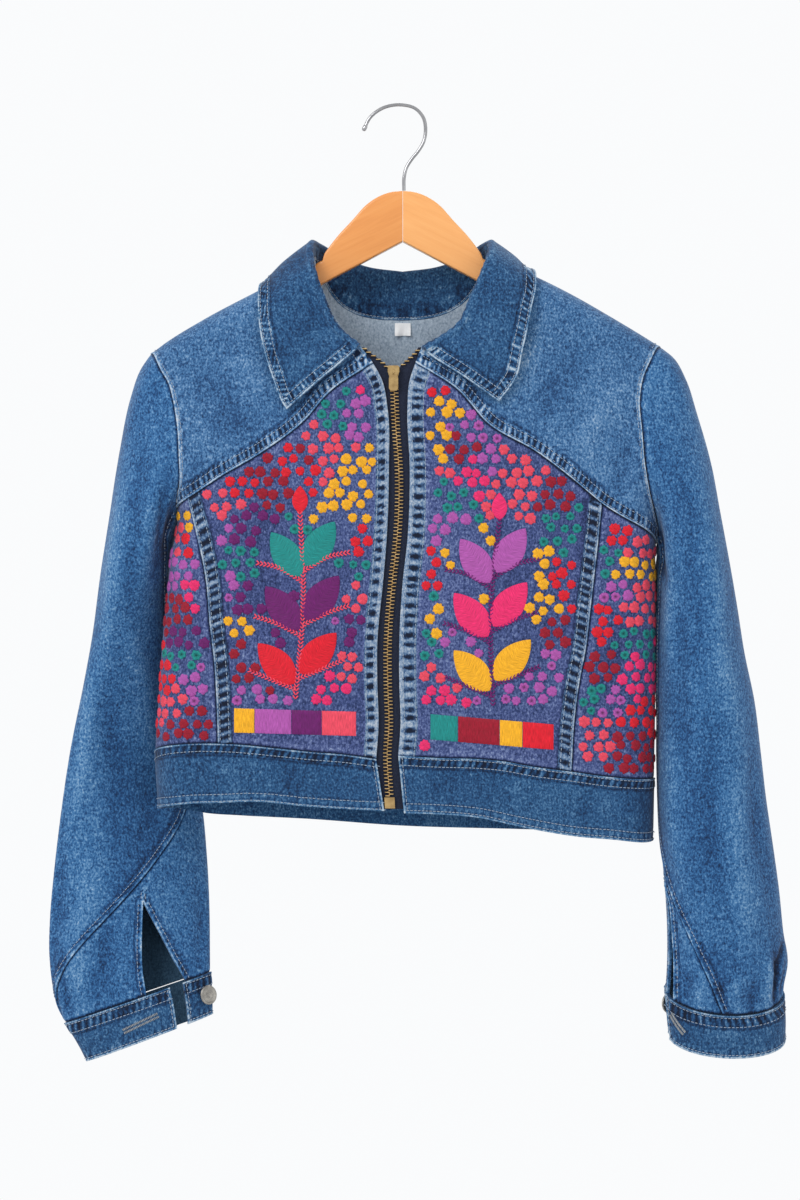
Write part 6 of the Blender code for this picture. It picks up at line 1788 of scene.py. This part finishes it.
def chain_stitches(line, spacing, spread):
    """Slanted pairs of stitches along a line in cloth coordinates, as chain stitch shows."""
    places = []
    total = length_of(line(even(OUTLINE_STEPS)))
    for share in np.arange(spacing / 2, total, spacing) / total:
        middle, way = line(share), unit(line(min(share + 0.01, 1.0)) - line(max(share - 0.01, 0.0)))
        across = np.array([-way[1], way[0]])
        for sign in (-1, 1):
            centre = middle + across * sign * spread
            tip = centre + way * 1.0 + across * sign * 0.75
            point, normal = torso_point(centre), torso_normal(centre)
            rise = float(cloth_rise(centre[None])[0])
            places.append((point + normal * (CHAIN_LIFT + rise), unit(torso_point(tip) - point), normal))
    return bars(places, *CHAIN_THREAD)


def build_stitched_lines(name, lines, colour, material):
    parts = [chain_stitches(line, *sizes) for line, sizes in lines]
    count = sum(len(part[0]) for part in parts)
    add_embroidery(name, parts, [np.tile(THREADS[colour], (count, 1))], [np.zeros((count, 2))], material)


def block_patches(blocks):
    """Satin blocks side by side, as embroidery patches."""
    edges, height = blocks["edges"], blocks["height"]
    top_start, top_end = blocks["top"]
    patches = []
    for start, end, colour in zip(edges, edges[1:], blocks["colours"]):
        u, v = np.meshgrid(*(even(count) for count in BLOCK_GRID), indexing="ij")
        x = start + (end - start - BLOCK_GAP) * u
        top = top_start + (top_end - top_start) * (x - edges[0]) / (edges[-1] - edges[0])
        ragged = RAGGED * ripple(x - edges[0] + 5, 2.4, 900)
        z = top - (height + ragged) * v + ragged * 0.5
        rim = np.minimum(np.minimum(u, 1 - u) * (end - start), np.minimum(v, 1 - v) * height)
        heights = BLOCK_RIM + BLOCK_SWELL * ease(rim / BLOCK_ROUNDS_OVER)
        patches.append((flatten(x, z), heights, np.stack([x, z], -1), THREADS[colour]))
    return patches


def build_embroidery(side, material):
    """Dots, a sprig and a row of satin blocks on one half of the front."""
    word, sprig, blocks = WORDS[side], SPRIGS[side], SATIN_BLOCKS[side]
    leaves, stem, keep_clear = sprig_parts(sprig)
    embroider("sprig_" + word, leaves, material)
    embroider("satin_blocks_" + word, block_patches(blocks), material)
    vein_lines = [(stem, STEM_CHAIN)]
    for share, length, _, spread, _ in sprig["pairs"]:
        for sign in (-1, 1):
            base = stem(share - TWIG_UNDER + (STAGGER if sign > 0 else 0))
            turn, reach = math.radians(spread + TWIG_SPREAD), length * TWIG_REACH
            bend = base + np.array([sign * math.sin(turn), math.cos(turn)]) * reach * TWIG_BEND
            end = base + np.array([sign * reach * TWIG_ACROSS, reach * TWIG_UP])
            line = smooth_curve([base, bend, end])
            vein_lines.append((line, VEIN_CHAIN))
            keep_clear.append((line(even(12)), TWIG_ROOM))
    build_stitched_lines("stems_" + word, vein_lines, sprig["stem"], material)

    yoke_seam, princess, front_edge, hem_top = (cloth_line(table[side])(even(OUTLINE_STEPS)) for table in (
        YOKE_SEAMS, PRINCESS_SEAMS, FRONT_EDGES, HEM_TOPS))
    underarm = side_line(side, ARMHOLES[side][-1][1], HEM_SIDES[side][0])(even(OUTLINE_STEPS))
    outline = np.concatenate([cloth_line(ARMHOLES[side])(0.9 + 0.1 * even(6)), underarm])
    placket_width = PLACKETS[side]["width"]
    block_high = max(blocks["top"]) + ROOM_OVER_BLOCKS

    def level(line, at, given=0):
        """A line's height at a given x, or its x at a given height."""
        order = np.argsort(line[:, given])
        return np.interp(at, line[order, given], line[order, 1 - given])

    random = np.random.default_rng(DOT_SEEDS[side])
    centres = np.array([flatten(x, z) for x, z, _ in DOT_PATCHES])
    rows, columns = np.meshgrid(np.arange(DOT_ROWS), np.arange(DOT_COLUMNS), indexing="ij")
    x = side * (DOTS_FROM_X + (columns + 0.5 * (rows % 2)) * DOT_PITCH)
    x = x + random.uniform(-UNEVEN_X, UNEVEN_X, rows.shape)
    z = DOTS_FROM_Z - rows * DOT_PITCH * ROW_SHARE + random.uniform(-UNEVEN_Z, UNEVEN_Z, rows.shape)
    radius = DOT_RADIUS * random.uniform(*UNEVEN_RADIUS, rows.shape)
    places = np.stack([x, z], -1)
    off_princess = side * (x - level(princess, z, 1))
    room = [level(yoke_seam, x) - z - radius - YOKE_ROOM, z - level(hem_top, x) - radius - HEM_ROOM,
            side * (x - level(front_edge, z, 1)) - placket_width - radius - PLACKET_ROOM,
            side * (level(outline, z, 1) - x) - radius - SIDE_ROOM]
    room += [near(places, line)[0] - gap + OVERLAP for line, gap in keep_clear]
    in_band = (off_princess > -PRINCESS_BAND["width"] - radius) & (off_princess < radius + 1.0)
    first, last = blocks["edges"][0] - BLOCK_ROOM, blocks["edges"][-1] + BLOCK_ROOM
    in_block = (x > first) & (x < last) & (z < block_high)
    free = (np.min(room, axis=0) > 0) & ~in_band & ~in_block
    dots = []
    for place, size in zip(places[free], radius[free]):
        mix = random.uniform(*COLOUR_MIX, len(centres))
        colour = DOT_PATCHES[int(np.argmin(np.linalg.norm(centres - place, axis=1) * mix))][2]
        ringed = colour == "teal" or (colour == "orchid" and random.random() < RINGED_SHARE)
        turn, lobes = random.uniform(0, 6.3), int(random.integers(6, 10))
        dots.append(dot_patch(place, size * (0.9 if ringed else 1.0), lobes, turn, THREADS[colour], ringed))
    embroider("dots_" + word, dots, material, closed=False)


def add(tree, kind, sockets=(), **settings):
    """A shader node whose sockets take a value, or another node's output."""
    node = tree.nodes.new("ShaderNode" + kind)
    for key, value in settings.items():
        setattr(node, key, value)
    for socket, value in dict(sockets).items():
        if isinstance(value, bpy.types.NodeSocket):
            tree.links.new(value, node.inputs[socket])
        else:
            node.inputs[socket].default_value = value
    return node


def new_material(name):
    material = bpy.data.materials.new(name)
    material.use_nodes = True
    material.node_tree.nodes.clear()
    return material, material.node_tree


def finish_material(tree, sockets):
    shader = add(tree, "BsdfPrincipled", sockets)
    add(tree, "OutputMaterial", {"Surface": shader.outputs["BSDF"]})


def noise(tree, where, scale, stretch=(1, 1, 1), detail=2.0, roughness=0.5, shift=(0, 0, 0)):
    moved = add(tree, "Mapping", {"Vector": where, "Scale": stretch, "Location": shift})
    wave = add(tree, "TexNoise", {"Vector": moved.outputs["Vector"], "Scale": scale, "Detail": detail,
                                  "Roughness": roughness})
    return wave.outputs["Fac"]


def mixed_sum(tree, start, terms):
    """Start value plus each of the sources times its share."""
    total = start
    for source, share in terms:
        total = add(tree, "Math", {0: source, 1: share, 2: total}, operation="MULTIPLY_ADD").outputs[0]
    return total


def ramp(tree, source, stops):
    node = add(tree, "ValToRGB", {"Fac": source})
    node.color_ramp.elements[0].position, node.color_ramp.elements[1].position = 0.0, 1.0
    while len(node.color_ramp.elements) < len(stops):
        node.color_ramp.elements.new(0.5)
    for element, (position, colour) in zip(node.color_ramp.elements, stops):
        element.position = position
        element.color = (*colour, 1.0)
    return node.outputs["Color"]


def bumped(tree, height, distance, strength=1.0):
    node = add(tree, "Bump", {"Height": height, "Distance": distance, "Strength": strength})
    return node.outputs["Normal"]


def denim_material(name, stops, shift=(0, 0, 0), middle=0.47):
    """Washed denim, whose seams and creases are paler or darker by per-corner values of its mesh: real wear,
    plus painted light and shade at creases, puckers, stitch dents and tucked edges.
    """
    material, tree = new_material(name)
    where = add(tree, "TexCoord").outputs["Object"]
    wear_and_shading = add(tree, "Attribute", attribute_name="wear_and_shading", attribute_type="GEOMETRY").outputs["Fac"]
    mottle = noise(tree, where, 1.0, (13, 13, 9), 3.0, shift=shift)
    streak = noise(tree, where, 1.0, (330, 330, 60), 2.0, 0.6, shift)
    slub = noise(tree, where, 1.0, (110, 110, 460), 2.0, 0.6, shift)
    speckle = noise(tree, where, 640.0, (1, 1, 0.7), 2.0, 0.65, shift)
    start = middle - 0.5 * (0.30 + 0.30 + 0.30 + 1.25)
    # The mesh's per-corner values lighten and darken the denim: real wear, plus painted light and shade in
    # creases, puckers, dents and under seam edges.
    shares = [(mottle, 0.30), (streak, 0.30), (slub, 0.30), (speckle, 1.25), (wear_and_shading, 0.56)]
    tone = mixed_sum(tree, start, shares)
    grain = mixed_sum(tree, 0.0, [(speckle, 0.6), (streak, 0.4), (slub, 0.3)])
    finish_material(tree, {"Base Color": ramp(tree, tone, stops), "Roughness": 0.88,
                           "Specular IOR Level": 0.18, "Sheen Weight": 0.12, "Sheen Roughness": 0.5,
                           "Normal": bumped(tree, grain, 0.0007, 0.6)})
    return material


BLUE_STOPS = [(0.0, (0.0045, 0.012, 0.034)), (0.30, (0.014, 0.053, 0.145)), (0.52, (0.045, 0.136, 0.292)),
              (0.75, (0.160, 0.275, 0.430)), (1.0, (0.41, 0.48, 0.56))]
SLEEVE_STOPS = [(0.0, (0.0035, 0.011, 0.034)), (0.30, (0.010, 0.049, 0.145)), (0.52, (0.032, 0.124, 0.288)),
                (0.75, (0.120, 0.250, 0.420)), (1.0, (0.37, 0.46, 0.56))]
DARK_STOPS = [(0.0, (0.003, 0.008, 0.024)), (0.30, (0.007, 0.033, 0.095)), (0.52, (0.019, 0.079, 0.190)),
              (0.75, (0.080, 0.182, 0.315)), (1.0, (0.36, 0.44, 0.52))]
VIOLET_STOPS = [(0.0, (0.005, 0.008, 0.030)), (0.30, (0.018, 0.032, 0.100)), (0.52, (0.052, 0.077, 0.205)),
                (0.75, (0.145, 0.190, 0.350)), (1.0, (0.36, 0.42, 0.53))]
PALE_STOPS = [(0.0, (0.004, 0.008, 0.022)), (0.30, (0.013, 0.032, 0.082)), (0.52, (0.054, 0.115, 0.230)),
              (0.75, (0.165, 0.240, 0.350)), (1.0, (0.38, 0.43, 0.50))]
# Inside of the sleeves and cuffs: darker and bluer than the grey wrong side, as painted shade inside the
# tubes.
SHADED_INSIDE_STOPS = [(0.0, (0.008, 0.020, 0.038)), (0.4, (0.018, 0.050, 0.092)), (0.75, (0.040, 0.090, 0.150)),
                (1.0, (0.10, 0.16, 0.23))]
WRONG_SIDE_STOPS = [(0.0, (0.12, 0.16, 0.22)), (0.4, (0.31, 0.39, 0.49)), (0.75, (0.48, 0.57, 0.66)),
                    (1.0, (0.68, 0.76, 0.84))]


def thread_material(name, stops):
    """Sewing thread, with fine unevenness."""
    material, tree = new_material(name)
    where = add(tree, "TexCoord").outputs["Object"]
    speckle = noise(tree, where, 900.0, (1, 1, 1), 1.0, 0.5)
    finish_material(tree, {"Base Color": ramp(tree, speckle, stops), "Roughness": 0.7,
                           "Specular IOR Level": 0.3, "Normal": bumped(tree, speckle, 0.0003)})
    return material


def embroidery_material():
    """Satin stitch. Each patch's own colour, with strands that follow its thread coordinates, lighter and
    darker by strand: partly real variation between threads, partly painted shade in the grooves between them.
    """
    material, tree = new_material("embroidery_thread")
    tone = add(tree, "Attribute", attribute_name="thread", attribute_type="GEOMETRY").outputs["Color"]
    where = add(tree, "UVMap", uv_map="threads").outputs["UV"]
    strands = noise(tree, where, 1.0, (2.4, 0.16, 1), 1.0, 0.5)
    # Strand tone: partly real variation between threads, partly painted shade in the grooves between them.
    shade = mixed_sum(tree, 0.26, [(strands, 1.25)])
    colour = add(tree, "VectorMath", {0: tone, "Scale": shade}, operation="SCALE").outputs["Vector"]
    finish_material(tree, {"Base Color": colour, "Roughness": 0.55, "Specular IOR Level": 0.25,
                           "Sheen Weight": 0.08, "Sheen Roughness": 0.4,
                           "Normal": bumped(tree, strands, 0.0008, 0.8)})
    return material


def metal_material(name, colour, tarnish, roughness, amount=0.5, scale=160.0):
    """Metal, with tarnished spots."""
    material, tree = new_material(name)
    where = add(tree, "TexCoord").outputs["Object"]
    spots = noise(tree, where, scale, (1, 1, 1), 3.0, 0.6)
    stops = [(0.5 - 0.5 * amount, tarnish), (0.5 + 0.5 * amount, colour)]
    rough = mixed_sum(tree, roughness + 0.12, [(spots, -0.24)])
    finish_material(tree, {"Base Color": ramp(tree, spots, stops), "Metallic": 1.0, "Roughness": rough,
                           "Normal": bumped(tree, spots, 0.0001, 0.3)})
    return material


def wood_material(name, stops, turn, glow=0.35):
    """Varnished wood with its grain along the arm."""
    material, tree = new_material(name)
    where = add(tree, "TexCoord").outputs["Object"]
    turned = add(tree, "Mapping", {"Vector": where, "Rotation": (0.0, math.radians(turn), 0.0)})
    turned = turned.outputs["Vector"]
    broad = noise(tree, turned, 1.0, (7, 60, 60), 3.0, 0.6)
    fine = noise(tree, turned, 1.0, (28, 520, 520), 2.0, 0.6)
    tone = mixed_sum(tree, 0.15, [(broad, 0.50), (fine, 0.35)])
    finish_material(tree, {"Base Color": ramp(tree, tone, stops), "Roughness": glow,
                           "Specular IOR Level": 0.5, "Coat Weight": 0.25, "Coat Roughness": 0.15,
                           "Normal": bumped(tree, fine, 0.0002, 0.4)})
    return material


def plain_material(name, dark, light, scale, roughness, bump=0.0):
    """Even cloth, plaster or paint with a fine, faint unevenness."""
    material, tree = new_material(name)
    where = add(tree, "TexCoord").outputs["Object"]
    grain = noise(tree, where, scale, (1, 1, 1), 2.0, 0.5)
    sockets = {"Base Color": ramp(tree, grain, [(0.3, dark), (0.7, light)]), "Roughness": roughness,
               "Specular IOR Level": 0.25}
    if bump:
        sockets["Normal"] = bumped(tree, grain, bump, 0.5)
    finish_material(tree, sockets)
    return material

# Stage: a round floor under the jacket and even light all round, in metres
FLOOR_Z = -2.2
FLOOR_RADIUS = 6.0
FLOOR_CORNERS = 128
FLOOR_TONES = ((0.82, 0.82, 0.82), (0.84, 0.84, 0.84))
WORLD_LIGHT = 1.03
WORLD_COLOUR = (0.93, 0.94, 0.95, 1.0)
# Soft lights: name, place, what it points at, size and power, in metres and watts
LAMPS = [
    ("key_light", (-1.7, -2.2, 1.3), (0.0, 0.0, -0.45), 1.4, 46.0),
    ("fill_light", (2.0, -2.2, 0.2), (0.0, 0.0, -0.45), 1.8, 6.0),
    ("rim_light", (0.4, 2.2, 1.4), (0.0, 0.0, -0.3), 1.6, 18.0),
]

# Camera, in metres and millimetres of focal length
CAMERA_PLACE = (-0.0024, -3.035, -0.4323)
FOCAL_LENGTH = 103.9
SENSOR = 36.0
# Width of the bevels on the zip's brass parts, in millimetres
WORN_EDGE = 0.15




def build_stitches(thread):
    """The rows of stitching noted along the seams, joined by group."""
    for group, places in stitch_places.items():
        if places:
            rows = bars(places, STITCH_LENGTH, STITCH_RADIUS, sides=STITCH_SIDES)
            place_piece(build_mesh("stitches_" + group, [rows], [thread]))


blue = denim_material("denim_blue", BLUE_STOPS)
violet = denim_material("denim_front", VIOLET_STOPS, (3, 1, 2))
sleeve_blue = denim_material("denim_sleeve", SLEEVE_STOPS, (7, 4, 5), 0.455)
pale_blue = denim_material("denim_bands", PALE_STOPS, (1, 7, 4))
dark_blue = denim_material("denim_dark", DARK_STOPS, (5, 2, 8))
trim_blue = denim_material("denim_collar_and_cuffs", DARK_STOPS, (6, 3, 2), 0.42)
wrong_side = denim_material("denim_wrong_side", WRONG_SIDE_STOPS, (2, 6, 1))
# Sleeve and cuff insides, painted darker as shade.
shaded_inside = denim_material("denim_inside_painted_shade", SHADED_INSIDE_STOPS, (4, 4, 3))
thread = thread_material("sewing_thread", [(0.3, (0.20, 0.27, 0.37)), (0.7, (0.36, 0.42, 0.50))])
silvery = thread_material("buttonhole_thread", [(0.3, (0.16, 0.18, 0.20)), (0.7, (0.32, 0.33, 0.34))])
embroidery = embroidery_material()
tape = plain_material("zip_tape", (0.006, 0.009, 0.022), (0.014, 0.020, 0.042), 900.0, 0.85, 0.0003)
brass = metal_material("zip_brass", (0.86, 0.62, 0.30), (0.46, 0.29, 0.11), 0.34)
slider_brass = metal_material("slider_brass", (0.60, 0.42, 0.19), (0.30, 0.19, 0.08), 0.26)
steel = metal_material("hook_steel", (0.40, 0.40, 0.41), (0.26, 0.26, 0.27), 0.16, 0.4, 60.0)
button_metal = metal_material("button_metal", (0.42, 0.40, 0.36), (0.20, 0.19, 0.18), 0.45)
left_wood = wood_material("wood_left", [(0.2, (0.55, 0.180, 0.034)), (0.55, (0.69, 0.265, 0.062)),
                                        (0.9, (0.77, 0.345, 0.10))], 26.0)
right_wood = wood_material("wood_right", [(0.2, (0.62, 0.245, 0.056)), (0.55, (0.77, 0.345, 0.104)),
                                          (0.9, (0.84, 0.43, 0.155))], -26.0)
white = plain_material("blank_label", (0.86, 0.87, 0.88), (0.93, 0.94, 0.95), 700.0, 0.55, 0.0002)

for side in WORDS:
    build_front(side, [blue, wrong_side], [violet, wrong_side, pale_blue], [dark_blue, wrong_side])
build_back([blue, wrong_side], [dark_blue, dark_blue])
for side in WORDS:
    build_sleeve(side, [sleeve_blue, shaded_inside])
    build_cuff(side, [trim_blue, shaded_inside], button_metal, silvery)
build_collar([trim_blue, wrong_side])
build_label(white)
build_zip(tape, brass)
build_hanger((left_wood, right_wood), steel)
for side in WORDS:
    build_embroidery(side, embroidery)
build_stitches(thread)

for node in ("zip_bottom_stop", "zip_slider", "zip_pull"):
    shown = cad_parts[node]
    shown.data.materials.clear()
    shown.data.materials.append(slider_brass)
    rounded = shown.modifiers.new("worn_edges", "BEVEL")
    rounded.width, rounded.segments, rounded.limit_method = WORN_EDGE * MM, 2, "ANGLE"

floor_mesh = bpy.data.meshes.new("floor")
floor_edge = [(FLOOR_RADIUS * math.cos(turn), FLOOR_RADIUS * math.sin(turn), FLOOR_Z)
              for turn in 2 * math.pi * even(FLOOR_CORNERS)[:-1]]
floor_mesh.from_pydata(floor_edge, [], [tuple(range(FLOOR_CORNERS))])
floor = bpy.data.objects.new("floor", floor_mesh)
floor_mesh.materials.append(plain_material("pale_floor", *FLOOR_TONES, 40.0, 0.9))
bpy.context.collection.objects.link(floor)

world = bpy.data.worlds.new("studio")
world.use_nodes = True
background = world.node_tree.nodes["Background"]
background.inputs["Color"].default_value = WORLD_COLOUR
background.inputs["Strength"].default_value = WORLD_LIGHT
bpy.context.scene.world = world
bpy.context.scene.view_settings.view_transform = "Standard"

for name, place, target, size, power in LAMPS:
    lamp = bpy.data.lights.new(name, "AREA")
    lamp.shape, lamp.size, lamp.energy = "SQUARE", size, power
    holder = bpy.data.objects.new(name, lamp)
    holder.location = place
    holder.rotation_euler = (Vector(target) - Vector(place)).to_track_quat("-Z", "Y").to_euler()
    bpy.context.collection.objects.link(holder)

lens = bpy.data.cameras.new("camera")
lens.lens, lens.sensor_fit, lens.sensor_width, lens.sensor_height = FOCAL_LENGTH, "VERTICAL", SENSOR, SENSOR
camera = bpy.data.objects.new("camera", lens)
camera.location = CAMERA_PLACE
camera.rotation_euler = (math.pi / 2, 0.0, 0.0)
bpy.context.collection.objects.link(camera)
bpy.context.scene.camera = camera
